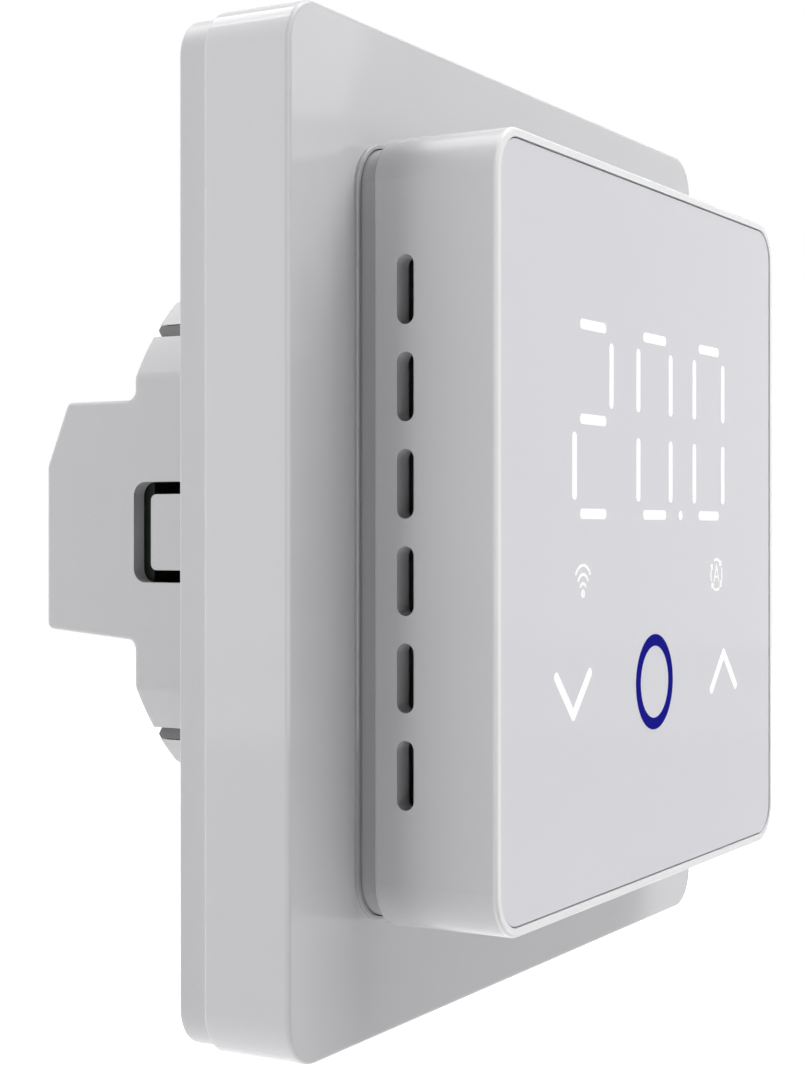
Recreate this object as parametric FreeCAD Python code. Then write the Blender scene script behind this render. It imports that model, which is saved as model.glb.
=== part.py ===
"""Square touch wall thermostat: an in-wall power unit, a clip-on cover frame and a plug-in display module.

Millimetres. +Z is up, +X is to the right seen from the room, and -Y points into the room.
The wall surface is the plane y = 0, and the origin is the centre of the wall-box screw pattern.
"""
import FreeCAD, Part
import math
import os

V = FreeCAD.Vector

# ---------------------------------------------------------------- driving sizes
# cover frame and the thin ring behind it
FRAME_SIDE = 86.0
FRAME_CORNER = 4.0
FRAME_ARRIS = 0.4
FRAME_WALL = 2.2
FRAME_FACE = 2.0
FRAME_HEIGHT = 8.2
RING_HEIGHT = 2.8
RING_INSET = 0.45
RING_ARRIS = 0.2
RING_HOLE_CORNER = 2.0
LIP_HEIGHT = 0.4
LIP_WIDTH = 0.4
LIP_ARRIS = 0.2
SKIRT_HEIGHT = 2.5
SKIRT_WALL = 1.4
FRAME_RIBS = 4
FRAME_RIB_PITCH = 20.0
FRAME_RIB_THICK = 1.0
FRAME_RIB_STEP = 0.6
CLIP_PLACE = 22.0
CLIP_LENGTH = 8.0
CLIP_THICK = 1.2
CLIP_HEIGHT = 3.0

# steel yoke screwed to the wall box
YOKE_INSET = 4.3
YOKE_CORNER = 5.0
RING_LAND = 3.2
YOKE_THICK = 1.2
FIXING_SPACING = 60.0
FIXING_WIDTH = 4.2
FIXING_LENGTH = 6.0
PRONG_HEIGHT = 1.05
PRONG_WIDTH = 1.2
PRONG_DROP = 3.22
PRONG_SINK = 0.48
PRONG_END_GAP = 0.1
GROOVE_GAP = 0.1

# in-wall housing
BODY_RADIUS = 28.95
SIDE_FLAT_DEPTH = 3.95
TOP_FLAT_DEPTH = 6.55
BODY_DEPTH = 18.0
BODY_WALL = 1.6
FLANGE_OVERLAP_X = 1.3
FLANGE_OVERLAP_Z = 1.9
FLANGE_OVERLAP_R = 2.35
FLANGE_THICK = 1.2
TOWER_DEPTH = 28.5
TOWER_TOP = 12.45
TOWER_BOTTOM = 10.2
TOWER_DRAFT = 0.9
TOWER_CHAMFER_Y = 2.5
TOWER_CHAMFER_Z = 6.1
CREASE_FILLET = 1.6
TOWER_FILLET = 0.65
TOWER_STEP_FILLET = 0.95
TOWER_SIDE_FILLET = 0.45

# snap tongues cut into the two flats of the housing
TONGUE_LENGTH = 12.0
TONGUE_HEIGHT = 7.1
TONGUE_GAP = 1.17
TONGUE_END_GAP = 2.0
TONGUE_CORNER = 0.6
TONGUE_SLOT_CORNER = 1.3

# lid of the power unit and its screws
LID_THICK = 1.4
LID_RIM = 1.0
LID_RIM_WALL = 1.15
LID_ARRIS = 0.3
LID_SCREW_INSET = 3.1
LID_BOSS_RADIUS = 2.3
LID_BOSS_SINK = 0.2
LID_NECK_RADIUS = 1.7
SCREW_RADIUS = 0.9
SCREW_HEAD_RADIUS = 2.0
SCREW_HEAD_HEIGHT = 1.3
SCREW_RECESS_WIDTH = 0.5
LID_SCREW_BITE = 9.0
MODULE_SCREW_BITE = 5.5

# boards
BOARD_THICK = 1.6
POWER_BOARD_GAP = 1.2

# parts on the rear of the power board: centre X, centre Z, half width, half height, how far they stand off
RELAY = (9.85, 0.0, 6.35, 14.5, 15.3)
MAINS_CAPACITOR = (-18.3, 2.8, 2.5, 6.5, 11.0)
POWER_CHIPS = ((19.2, 8.4, 1.9, 2.6, 2.4), (-8.0, 17.8, 4.0, 1.8, 2.2), (9.5, -17.8, 3.6, 1.7, 2.2))
# cans: centre X, centre Z, radius, height
BULK_CAPACITOR = (-8.0, -15.2, 4.0, 12.0)
OUTPUT_CAPACITOR = (-16.4, -8.6, 3.15, 9.0)
TRANSFORMER_X = -7.5
TRANSFORMER_Z = 8.0
TRANSFORMER_HALF = 6.5
TRANSFORMER_HEIGHT = 13.0
TRANSFORMER_CORE = 1.8
TRANSFORMER_BASE = 1.6
WINDING_RADIUS = 3.7
CAN_ARRIS = 0.5
CAN_GROOVE_FOOT = 1.3
CAN_GROOVE_WIDTH = 0.8
CAN_GROOVE_DEPTH = 0.35
CAN_SCORE = 0.2
VARISTOR_X = -7.0
VARISTOR_Z = -6.0
VARISTOR_RADIUS = 5.0
VARISTOR_THICK = 3.6
VARISTOR_LIFT = 0.8
FUSE_X = 18.8
FUSE_LOW_Z = -9.6
FUSE_LENGTH = 14.2
FUSE_RADIUS = 1.8
FUSE_CAP_LENGTH = 1.8
FUSE_CAP_STEP = 0.2
LEG_RADIUS = 0.4
LINK_PINS = 5
LINK_PITCH = 3.5
LINK_X = 1.6
LINK_SIDE = 1.0
BLOCK_ARRIS = 0.3

# terminals
TERMINALS = 6
TERMINAL_PITCH = 7.5
TERMINAL_Z = -1.5
TERMINAL_TRAVEL = 1.5
BLOCK_HEIGHT = 8.2
BLOCK_REAR_GAP = 0.1
BLOCK_TOP_MARGIN = 1.35
BLOCK_FOOT_GAP = 0.2
BLOCK_SHOULDER = 0.5
CHAMBER_WALL = 1.3
CAGE_SIDE = 0.7
CAGE_ARRIS = 0.3
CAGE_LENGTH = 5.4
CAGE_TAP_WALL = 0.85
CAGE_FLOOR = 0.7
CAGE_OPENING = 2.8
CONTACT_THICK = 0.8
CONTACT_SIDE_GAP = 0.35
TERMINAL_SCREW_RADIUS = 1.5
TERMINAL_HEAD_RADIUS = 2.45
TERMINAL_HEAD_HEIGHT = 1.3
SCREW_ARRIS = 0.25
TERMINAL_SLOT_DEPTH = 0.7
TERMINAL_SLOT_WIDTH = 0.7
CONTACT_REACH = 1.6
SCREW_ACCESS_RADIUS = 2.2
ENTRY_WIDTH = 4.4
ENTRY_HEIGHT = 3.4
ENTRY_CORNER = 0.6

# display module
MODULE_SIDE = 66.3
MODULE_CORNER = 4.0
MODULE_ARRIS = 0.3
MODULE_REAR_ARRIS = 0.35
MODULE_DEPTH = 11.45
MODULE_STANDOFF = 1.95
MODULE_WALL = 2.0
BEZEL_RIM = 0.77
GLASS_GAP = 0.12
GLASS_THICK = 1.5
GLASS_SINK = 0.1
TAPE_THICK = 0.1
SHELF_THICK = 1.0
SHELF_WIDTH = 1.1
SHELF_CORNER = 0.9
GLASS_ARRIS = 0.08
VENTS = 6
VENT_PITCH = 8.0
VENT_LENGTH = 5.75
VENT_WIDTH = 1.6
VENT_FROM_REAR = 3.03
COVER_PLATE = 1.5
COLLAR_INSET = 0.62
COLLAR_CORNER = 3.8
COLLAR_WALL = 1.6
COLLAR_LENGTH = 7.35
COLLAR_ARRIS = 0.4
LOCATING_RIB = 1.3
RIB_WALL = 1.2
RIB_AT_VENTS = 1.0
MODULE_SCREW_X = 16.0
MODULE_SCREW_INSET = 3.7
MODULE_BOSS_RADIUS = 2.2
MODULE_FOOT_RADIUS = 2.9
MODULE_WEB = 2.0
POST_RADIUS = 2.0
POST_INSET = 5.44
POST_SHOULDER = 1.0
POST_ARRIS = 0.5
POST_END_GAP = 0.2
CUP_WALL = 1.1
CUP_MARGIN = 0.8
GUSSET_BITE = 0.1

# display
MASK_THICK = 0.25
REFLECTOR_DEPTH = 3.75
REFLECTOR_MARGIN = 1.2
REFLECTOR_CORNER = 1.5
WELL_GROW = 0.1
WINDOW_ROUND = 0.5
LED_SIDE = 0.8
LED_HEIGHT = 0.6
DIGITS = 3
DIGIT_PITCH = 14.1
DIGIT_MID_Z = 9.95
DIGIT_RISE = 8.3
SEGMENT_OFFSET_X = 3.96
SEGMENT_LENGTH = 5.7
SEGMENT_THICK = 1.0
DOT_OFFSET_X = 6.5
ICON_X = 16.3
ICON_Z = -4.25
ICON_SIZE = 3.6
KEY_X = 18.3
KEY_Z = -14.13
KEY_RADIUS = 4.1
TOUCH_PAD_RADIUS = 3.0
BOARD_MARGIN = 1.1
BOARD_CORNER = 1.5
# radio module: low X, high X, low Z, high Z
RADIO_PLACE = (8.0, 26.0, 8.0, 20.0)
RADIO_BOARD = 0.8
RADIO_CAN = 1.8
RADIO_AERIAL = 4.0
RADIO_EDGE = 1.0
# chips on the rear of the display board: centre X, centre Z, half width, half height, thickness
CONTROL_CHIPS = ((-6.0, 6.0, 3.5, 3.5, 1.4), (-19.0, 2.0, 2.6, 3.2, 1.4), (8.0, -2.0, 5.0, 2.6, 1.6))
CHIP_ARRIS = 0.2
SENSOR_INSET = 2.1
BEAD_RADIUS = 0.8
SENSOR_WIRE = 0.15

# plug between the module and the power unit
PLUG_PINS = 8
PLUG_PITCH = 2.54
PLUG_END = 0.25
PLUG_Z = -12.0
PIN_SIDE = 0.6
PIN_HOLE_SIDE = 0.9
SOCKET_HEIGHT = 7.0
SOCKET_HALF_Z = 1.3
PLUG_BASE_HALF_Z = 1.25
PLUG_BASE_HEIGHT = 2.5
PIN_INSERTION = 5.2

# clearances
SLIDE_GAP = 0.12
EASY_GAP = 0.3
THREAD_GAP = 0.05
CLIP_GAP = 0.15
SCREW_HOLE_GAP = 0.2
SCREW_END_GAP = 0.5

# ---------------------------------------------------------------- derived places along Y
FRAME_REAR = -RING_HEIGHT
FRAME_FRONT = FRAME_REAR - FRAME_HEIGHT
MODULE_REAR = FRAME_FRONT - MODULE_STANDOFF
MODULE_FRONT = MODULE_REAR - MODULE_DEPTH
GLASS_FRONT = MODULE_FRONT + GLASS_SINK
GLASS_REAR = GLASS_FRONT + GLASS_THICK
SHELF_FRONT = GLASS_REAR + TAPE_THICK
SHELF_REAR = SHELF_FRONT + SHELF_THICK
MASK_REAR = GLASS_REAR + MASK_THICK
DISPLAY_BOARD_FRONT = MASK_REAR + REFLECTOR_DEPTH
DISPLAY_BOARD_REAR = DISPLAY_BOARD_FRONT + BOARD_THICK
COVER_REAR = MODULE_REAR + COVER_PLATE
COLLAR_REAR = MODULE_REAR + COLLAR_LENGTH
FLANGE_REAR = -YOKE_THICK
FLANGE_FRONT = FLANGE_REAR - FLANGE_THICK
LID_FRONT = FLANGE_FRONT - LID_THICK
POWER_BOARD_FRONT = FLANGE_FRONT + POWER_BOARD_GAP
POWER_BOARD_REAR = POWER_BOARD_FRONT + BOARD_THICK
BLOCK_REAR = TOWER_DEPTH - BODY_WALL - BLOCK_REAR_GAP
TERMINAL_BOARD_REAR = BLOCK_REAR - BLOCK_HEIGHT
TERMINAL_BOARD_FRONT = TERMINAL_BOARD_REAR - BOARD_THICK
HEAD_SEAT = BLOCK_REAR - TERMINAL_HEAD_HEIGHT - 2 * THREAD_GAP
CHAMBER_END = HEAD_SEAT - BLOCK_SHOULDER
CAGE_REAR = CHAMBER_END - TERMINAL_TRAVEL - THREAD_GAP
CAGE_FRONT = CAGE_REAR - CAGE_TAP_WALL - CAGE_OPENING - CAGE_FLOOR
CONTACT_REAR = CAGE_REAR - CAGE_TAP_WALL - 2 * THREAD_GAP
CONTACT_FRONT = CONTACT_REAR - CONTACT_THICK
ENTRY_Y = (CAGE_FRONT + CAGE_FLOOR + CONTACT_FRONT) / 2
CAGE_LOW = TERMINAL_Z - CAGE_LENGTH / 2
CAGE_HIGH = TERMINAL_Z + CAGE_LENGTH / 2
CONTACT_HIGH = CAGE_HIGH + CLIP_GAP + CONTACT_REACH
TONGUE_TIP = BODY_DEPTH - TONGUE_END_GAP
TONGUE_ROOT = TONGUE_TIP - TONGUE_LENGTH
SOCKET_FRONT = POWER_BOARD_FRONT - SOCKET_HEIGHT
PLUG_BASE_REAR = DISPLAY_BOARD_REAR + PLUG_BASE_HEIGHT
PIN_TIP = SOCKET_FRONT + PIN_INSERTION
CUP_FRONT = COLLAR_REAR + EASY_GAP
POST_TIP = FRAME_REAR - POST_END_GAP

# derived half sizes across the wall
FRAME_HALF = FRAME_SIDE / 2
FRAME_INNER_HALF = FRAME_HALF - FRAME_WALL
RING_HALF = FRAME_HALF - RING_INSET
YOKE_HALF = FRAME_HALF - YOKE_INSET
MODULE_HALF = MODULE_SIDE / 2
MODULE_INNER_HALF = MODULE_HALF - MODULE_WALL
RECESS_HALF = MODULE_HALF - BEZEL_RIM
GLASS_HALF = RECESS_HALF - GLASS_GAP
SHELF_HALF = MODULE_INNER_HALF - SHELF_WIDTH
COLLAR_HALF = MODULE_HALF - COLLAR_INSET
WINDOW_HALF = COLLAR_HALF + SLIDE_GAP
WINDOW_CORNER = COLLAR_CORNER + SLIDE_GAP
BODY_HALF_X = BODY_RADIUS - SIDE_FLAT_DEPTH
BODY_HALF_Z = BODY_RADIUS - TOP_FLAT_DEPTH
FLANGE_HALF_X = BODY_HALF_X + FLANGE_OVERLAP_X
FLANGE_HALF_Z = BODY_HALF_Z + FLANGE_OVERLAP_Z
FLANGE_RADIUS = BODY_RADIUS + FLANGE_OVERLAP_R
CAVITY_RADIUS = BODY_RADIUS - BODY_WALL
CAVITY_HALF_X = BODY_HALF_X - BODY_WALL
CAVITY_HALF_Z = BODY_HALF_Z - BODY_WALL
LID_SCREW_X = CAVITY_HALF_X - LID_SCREW_INSET
LID_SCREW_Z = math.sqrt((CAVITY_RADIUS + LID_BOSS_SINK - LID_BOSS_RADIUS) ** 2 - LID_SCREW_X ** 2)
PRONG_OFFSET_Z = BODY_HALF_Z - PRONG_DROP
PRONG_OFFSET_X = math.sqrt(BODY_RADIUS ** 2 - PRONG_OFFSET_Z ** 2) - PRONG_SINK
GROOVE_HALF = PRONG_HEIGHT / 2 + GROOVE_GAP
GROOVE_FLOOR = PRONG_OFFSET_X - PRONG_WIDTH - EASY_GAP
GROOVE_WALL = BODY_WALL - EASY_GAP
MODULE_SCREW_Z = MODULE_INNER_HALF - MODULE_SCREW_INSET
PLUG_HALF_X = PLUG_PINS * PLUG_PITCH / 2 + PLUG_END
CUP_RADIUS = POST_RADIUS + CLIP_GAP + CUP_WALL
POST_OFFSET = COLLAR_HALF - COLLAR_WALL - POST_INSET
BLOCK_HALF_X = TERMINALS * TERMINAL_PITCH / 2
BLOCK_TOP = TOWER_TOP - TOWER_CHAMFER_Z - BLOCK_TOP_MARGIN
BLOCK_BOTTOM = TOWER_BOTTOM - BODY_WALL - TOWER_DRAFT - BLOCK_FOOT_GAP
CAGE_WIDTH = TERMINAL_PITCH - CHAMBER_WALL - 2 * CLIP_GAP
CONTACT_WIDTH = CAGE_WIDTH - 2 * CAGE_SIDE - 2 * CONTACT_SIDE_GAP

LONG = 200.0
NEAR = 0.01


# ---------------------------------------------------------------- shape helpers
def box(x0, x1, y0, y1, z0, z1):
    """Box between two corners, given in either order."""
    x0, x1 = sorted((x0, x1))
    y0, y1 = sorted((y0, y1))
    z0, z1 = sorted((z0, z1))
    return Part.makeBox(x1 - x0, y1 - y0, z1 - z0, V(x0, y0, z0))


def rod_x(y, z, radius, x0, x1):
    """Cylinder along X."""
    return Part.makeCylinder(radius, x1 - x0, V(x0, y, z), V(1, 0, 0))


def rod_y(x, z, radius, y0, y1):
    """Cylinder along Y."""
    return Part.makeCylinder(radius, y1 - y0, V(x, y0, z), V(0, 1, 0))


def rod_z(x, y, radius, z0, z1):
    """Cylinder along Z."""
    return Part.makeCylinder(radius, z1 - z0, V(x, y, z0), V(0, 0, 1))


def ends_of(edge):
    """Both end points of an edge, or nothing for a closed one."""
    return [v.Point for v in edge.Vertexes] if len(edge.Vertexes) == 2 else []


def soften(shape, radius, chosen):
    """Fillet every edge whose vertices all pass the test."""
    edges = [e for e in shape.Edges if e.Vertexes and all(chosen(v.Point) for v in e.Vertexes)]
    return shape.makeFillet(radius, edges)


def soften_front(shape, radius, y):
    """Fillet the outline of a shape's front face."""
    return soften(shape, radius, lambda p: p.y < y + NEAR)


def soften_rear(shape, radius, y):
    """Fillet the outline of a shape's rear face."""
    return soften(shape, radius, lambda p: p.y > y - NEAR)


def soften_uprights(block, radius):
    """Round the edges that run along Y."""
    edges = [e for e in block.Edges if ends_of(e) and abs(ends_of(e)[0].y - ends_of(e)[1].y) > NEAR]
    return block.makeFillet(radius, edges)


def slab(half_x, half_z, corner, y0, y1, x=0.0, z=0.0):
    """Plate square to Y, with its four corners rounded."""
    return soften_uprights(box(x - half_x, x + half_x, y0, y1, z - half_z, z + half_z), corner)


def square(half, corner, y0, y1):
    """Square plate about the centre line."""
    return slab(half, half, corner, y0, y1)


def obround(cx, cz, length, width, y0, y1, upright=False):
    """Slot with round ends, cut along Y; upright makes its long side vertical."""
    reach = (length - width) / 2
    along = V(0, 0, reach) if upright else V(reach, 0, 0)
    a = V(cx, 0, cz) - along
    b = V(cx, 0, cz) + along
    ends = rod_y(a.x, a.z, width / 2, y0, y1).fuse(rod_y(b.x, b.z, width / 2, y0, y1))
    if upright:
        core = box(cx - width / 2, cx + width / 2, y0, y1, a.z, b.z)
    else:
        core = box(a.x, b.x, y0, y1, cz - width / 2, cz + width / 2)
    return ends.fuse(core).removeSplitter()


def flatted(radius, half_x, half_z, y0, y1):
    """Round bar along Y with flats left, right, top and bottom."""
    return rod_y(0, 0, radius, y0, y1).common(box(-half_x, half_x, y0, y1, -half_z, half_z))


def cavity_bar(gap, y0, y1):
    """Bar that fills the housing's inside but for a gap all round."""
    return flatted(CAVITY_RADIUS - gap, CAVITY_HALF_X - gap, CAVITY_HALF_Z - gap, y0, y1)


def fused(first, *others):
    """One solid from several that touch."""
    return first.fuse(list(others)).removeSplitter()


def minus(base, *tools):
    """The base with all the tools cut away."""
    return base.cut(list(tools))


def four(x, z):
    """The four places at plus and minus x and z."""
    return [(sx * x, sz * z) for sx in (-1, 1) for sz in (-1, 1)]


def row(count, pitch):
    """Evenly spaced places about zero."""
    return [(i - (count - 1) / 2) * pitch for i in range(count)]


def pan_screw(x, z, seat, length):
    """Pan head screw along Y: its head stands in front of the seat and has a cross recess."""
    top = seat - SCREW_HEAD_HEIGHT
    head = rod_y(x, z, SCREW_HEAD_RADIUS, top, seat)
    head = soften_front(head, SCREW_HEAD_HEIGHT * 0.45, top)
    body = fused(head, rod_y(x, z, SCREW_RADIUS, seat, seat + length))
    arm = SCREW_HEAD_RADIUS * 0.55
    half = SCREW_RECESS_WIDTH / 2
    floor = seat - SCREW_HEAD_HEIGHT * 0.35
    return minus(
        body,
        box(x - arm, x + arm, top - 1, floor, z - half, z + half),
        box(x - half, x + half, top - 1, floor, z - arm, z + arm),
    )


# ---------------------------------------------------------------- parts that stay on the wall
def mounting_yoke():
    """Steel plate on the wall, slotted for the wall-box screws, with four prongs beside the housing."""
    plate = square(YOKE_HALF, YOKE_CORNER, -YOKE_THICK, 0)
    opening = flatted(BODY_RADIUS + EASY_GAP, BODY_HALF_X + EASY_GAP, BODY_HALF_Z + EASY_GAP, -LONG, LONG)
    slots = []
    for side in (-1, 1):
        place = side * FIXING_SPACING / 2
        slots.append(obround(place, 0, FIXING_LENGTH, FIXING_WIDTH, -LONG, LONG))
        slots.append(obround(0, place, FIXING_LENGTH, FIXING_WIDTH, -LONG, LONG, upright=True))
    plate = minus(plate, opening, *slots)
    return fused(plate, *[prong(sx, sz) for sx, sz in four(1, 1)])


def prong(sx, sz):
    """Bent finger that runs back in a groove of the housing, its tip cut to slide in easily."""
    low = PRONG_OFFSET_Z - PRONG_HEIGHT / 2
    high = PRONG_OFFSET_Z + PRONG_HEIGHT / 2
    inner = PRONG_OFFSET_X - PRONG_WIDTH
    outer = math.sqrt((BODY_RADIUS + 2 * EASY_GAP) ** 2 - low ** 2)
    tip = BODY_DEPTH - PRONG_END_GAP
    outline = [
        (-YOKE_THICK, low),
        (tip - 0.35 * PRONG_HEIGHT, low),
        (tip, low + 0.6 * PRONG_HEIGHT),
        (tip - 0.25 * PRONG_HEIGHT, high),
        (-YOKE_THICK, high),
    ]
    points = [V(sx * PRONG_OFFSET_X, y, sz * z) for y, z in outline]
    points.append(points[0])
    blade = Part.Face(Part.makePolygon(points)).extrude(V(-sx * PRONG_WIDTH, 0, 0))
    return blade.fuse(box(sx * inner, sx * outer, -YOKE_THICK, 0, sz * low, sz * high))


def base_ring():
    """Thin ring behind the cover frame: it holds the yoke's rim, clips the frame and guides the module."""
    ring = square(RING_HALF, FRAME_CORNER - RING_INSET, FRAME_REAR, 0)
    ring = soften_rear(ring, RING_ARRIS, 0)
    pocket = square(YOKE_HALF + EASY_GAP, YOKE_CORNER, -YOKE_THICK, 1)
    hole_half = YOKE_HALF - RING_LAND
    hole = square(hole_half, RING_HOLE_CORNER, -LONG, LONG)
    ring = minus(ring, pocket, hole)
    keep_out = rod_y(0, 0, FLANGE_RADIUS + EASY_GAP, -LONG, LONG)
    inner = (FLANGE_RADIUS + EASY_GAP) / math.sqrt(2) - GUSSET_BITE
    outer = hole_half + RING_LAND / 2
    extras = []
    for sx, sz in four(1, 1):
        gusset = box(sx * inner, sx * outer, FRAME_REAR, -YOKE_THICK, sz * inner, sz * outer)
        extras.append(gusset.cut(keep_out))
        extras.append(rod_y(sx * POST_OFFSET, sz * POST_OFFSET, CUP_RADIUS, CUP_FRONT, -YOKE_THICK))
    for place in (-CLIP_PLACE, CLIP_PLACE):
        for side in (-1, 1):
            extras.append(clip_tab(place, side, False))
            extras.append(clip_tab(place, side, True))
    ring = fused(ring, *extras)
    bores = [
        rod_y(x, z, POST_RADIUS + CLIP_GAP, CUP_FRONT - 1, FRAME_REAR)
        for x, z in four(POST_OFFSET, POST_OFFSET)
    ]
    return minus(ring, *bores)


def cup_rooms():
    """Room round the four guide cups, for what lies behind them."""
    return [
        rod_y(x, z, CUP_RADIUS + CUP_MARGIN, -LONG, LONG)
        for x, z in four(POST_OFFSET, POST_OFFSET)
    ]


def clip_tab(place, side, upright):
    """Tab that stands forward from the ring, just inside the cover frame's wall."""
    outer = side * (FRAME_INNER_HALF - CLIP_GAP)
    inner = side * (FRAME_INNER_HALF - CLIP_GAP - CLIP_THICK)
    low = place - CLIP_LENGTH / 2
    high = place + CLIP_LENGTH / 2
    if upright:
        return box(inner, outer, FRAME_REAR - CLIP_HEIGHT, FRAME_REAR, low, high)
    return box(low, high, FRAME_REAR - CLIP_HEIGHT, FRAME_REAR, inner, outer)


def tower_profile(inset):
    """Side outline of the terminal tower, moved inwards by the inset all round."""
    rear = TOWER_DEPTH - inset
    top = TOWER_TOP - inset
    bottom = TOWER_BOTTOM - inset
    slope = math.hypot(TOWER_CHAMFER_Y, TOWER_CHAMFER_Z)
    shift = inset * (slope - TOWER_CHAMFER_Y) / TOWER_CHAMFER_Z
    drop = shift * TOWER_CHAMFER_Z / TOWER_CHAMFER_Y
    back = inset * (slope - TOWER_CHAMFER_Z) / TOWER_CHAMFER_Y
    start = BODY_DEPTH - 2 * BODY_WALL
    return [
        (start, top),
        (TOWER_DEPTH - TOWER_CHAMFER_Y - back, top),
        (rear, TOWER_TOP - TOWER_CHAMFER_Z - shift),
        (rear, TOWER_DRAFT - bottom),
        (BODY_DEPTH, -bottom),
        (start, -bottom),
    ]


def tower(half_x, inset):
    """Prism across X with the tower's outline."""
    points = [V(-half_x, y, z) for y, z in tower_profile(inset)]
    points.append(points[0])
    return Part.Face(Part.makePolygon(points)).extrude(V(2 * half_x, 0, 0))


def soften_creases(body):
    """Round the creases where the flats meet the round sides."""
    crease_x = math.sqrt(BODY_RADIUS ** 2 - BODY_HALF_Z ** 2)
    crease_z = math.sqrt(BODY_RADIUS ** 2 - BODY_HALF_X ** 2)

    def on_crease(p):
        side = abs(abs(p.x) - BODY_HALF_X) < NEAR and abs(abs(p.z) - crease_z) < NEAR
        level = abs(abs(p.x) - crease_x) < NEAR and abs(abs(p.z) - BODY_HALF_Z) < NEAR
        return side or level

    def along(edge):
        ends = ends_of(edge)
        return bool(ends) and abs(ends[0].y - ends[1].y) > NEAR and all(on_crease(p) for p in ends)

    return body.makeFillet(CREASE_FILLET, [e for e in body.Edges if along(e)])


def soften_tower(shell):
    """Round the tower's long edges across X first, then the outline that runs round both sides."""
    def behind(p):
        return p.y > BODY_DEPTH - NEAR

    def across(at_step):
        found = []
        for edge in shell.Edges:
            ends = ends_of(edge)
            wide = bool(ends) and abs(ends[0].x - ends[1].x) > 2 * (BODY_HALF_X - NEAR)
            if wide and all(behind(p) and abs(p.z) < TOWER_TOP + NEAR for p in ends):
                if at_step == (ends[0].y < BODY_DEPTH + NEAR):
                    found.append(edge)
        return found

    shell = shell.makeFillet(TOWER_FILLET, across(at_step=False))
    shell = shell.makeFillet(TOWER_STEP_FILLET, across(at_step=True))
    sides = []
    for edge in shell.Edges:
        ends = ends_of(edge)
        if ends and all(behind(p) and abs(abs(p.x) - BODY_HALF_X) < NEAR for p in ends):
            sides.append(edge)
    return shell.makeFillet(TOWER_SIDE_FILLET, sides)


def rear_housing():
    """In-wall housing: a flatted round body, a flange on the yoke and a terminal tower behind."""
    body = flatted(BODY_RADIUS, BODY_HALF_X, BODY_HALF_Z, FLANGE_REAR, BODY_DEPTH)
    shell = soften_tower(fused(soften_creases(body), tower(BODY_HALF_X, 0)))
    flange = flatted(FLANGE_RADIUS, FLANGE_HALF_X, FLANGE_HALF_Z, FLANGE_FRONT, FLANGE_REAR)
    shell = fused(shell, minus(flange, *cup_rooms()))
    cavity = cavity_bar(0, FLANGE_FRONT - 1, BODY_DEPTH - BODY_WALL)
    shell = minus(shell, cavity, tower(CAVITY_HALF_X, BODY_WALL))
    rear = BODY_DEPTH - BODY_WALL / 2
    skin = BODY_WALL / 4
    inside = flatted(BODY_RADIUS - skin, BODY_HALF_X - skin, BODY_HALF_Z - skin, FLANGE_REAR, rear)
    ribs = []
    cuts = []
    for sx, sz in four(1, 1):
        low = PRONG_OFFSET_Z - GROOVE_HALF
        high = PRONG_OFFSET_Z + GROOVE_HALF
        rib = box(sx * (GROOVE_FLOOR - GROOVE_WALL), sx * BODY_RADIUS, FLANGE_REAR, rear,
                  sz * (low - GROOVE_WALL), sz * (high + GROOVE_WALL))
        ribs.append(rib.common(inside))
        cuts.append(box(sx * GROOVE_FLOOR, sx * (BODY_RADIUS + 1), FLANGE_REAR, BODY_DEPTH + 1,
                        sz * low, sz * high))
    for x, z in four(LID_SCREW_X, LID_SCREW_Z):
        ribs.append(rod_y(x, z, LID_BOSS_RADIUS, POWER_BOARD_REAR, rear))
        ribs.append(rod_y(x, z, LID_NECK_RADIUS, FLANGE_FRONT, POWER_BOARD_REAR))
        cuts.append(rod_y(x, z, SCREW_RADIUS + THREAD_GAP, FLANGE_FRONT - 1, FLANGE_FRONT + LID_SCREW_BITE))
    for x in row(TERMINALS, TERMINAL_PITCH):
        cuts.append(rod_y(x, TERMINAL_Z, SCREW_ACCESS_RADIUS, TOWER_DEPTH - 1.5 * BODY_WALL, TOWER_DEPTH + 1))
        cuts.append(wire_entry(x, -TOWER_BOTTOM - 1, -BLOCK_BOTTOM + BLOCK_FOOT_GAP))
    for side in (-1, 1):
        cuts.append(tongue_slot(side))
    return minus(fused(shell, *ribs), *cuts)


def wire_entry(x, z0, z1):
    """Upright wire passage with a rounded rectangular section."""
    half_x = ENTRY_WIDTH / 2
    half_y = ENTRY_HEIGHT / 2
    passage = box(x - half_x, x + half_x, ENTRY_Y - half_y, ENTRY_Y + half_y, z0, z1)
    edges = [e for e in passage.Edges if abs(ends_of(e)[0].z - ends_of(e)[1].z) > NEAR]
    return passage.makeFillet(ENTRY_CORNER, edges)


def tongue_outline(side, sink, spread, end_gap, corner, root_radius):
    """Flat tongue with a rounded free end, and a round root that turns on the root axis."""
    half_z = TONGUE_HEIGHT / 2 + spread
    outer = side * (BODY_HALF_X + sink)
    inner = side * (CAVITY_HALF_X - sink)
    tip = TONGUE_TIP + end_gap
    plate = box(inner, outer, TONGUE_ROOT, tip, -half_z, half_z)
    corners = [
        e for e in plate.Edges
        if all(p.y > tip - NEAR for p in ends_of(e)) and abs(ends_of(e)[0].x - ends_of(e)[1].x) > NEAR
    ]
    plate = plate.makeFillet(corner, corners)
    root = rod_z(side * (BODY_HALF_X - BODY_WALL / 2), TONGUE_ROOT, root_radius, -half_z, half_z)
    return fused(plate, root)


def tongue_slot(side):
    """The U-shaped gap around a tongue, with the tongue's own space included."""
    root = BODY_WALL / 2 + THREAD_GAP
    return tongue_outline(side, 1.0, TONGUE_GAP, TONGUE_END_GAP, TONGUE_SLOT_CORNER, root)


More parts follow.
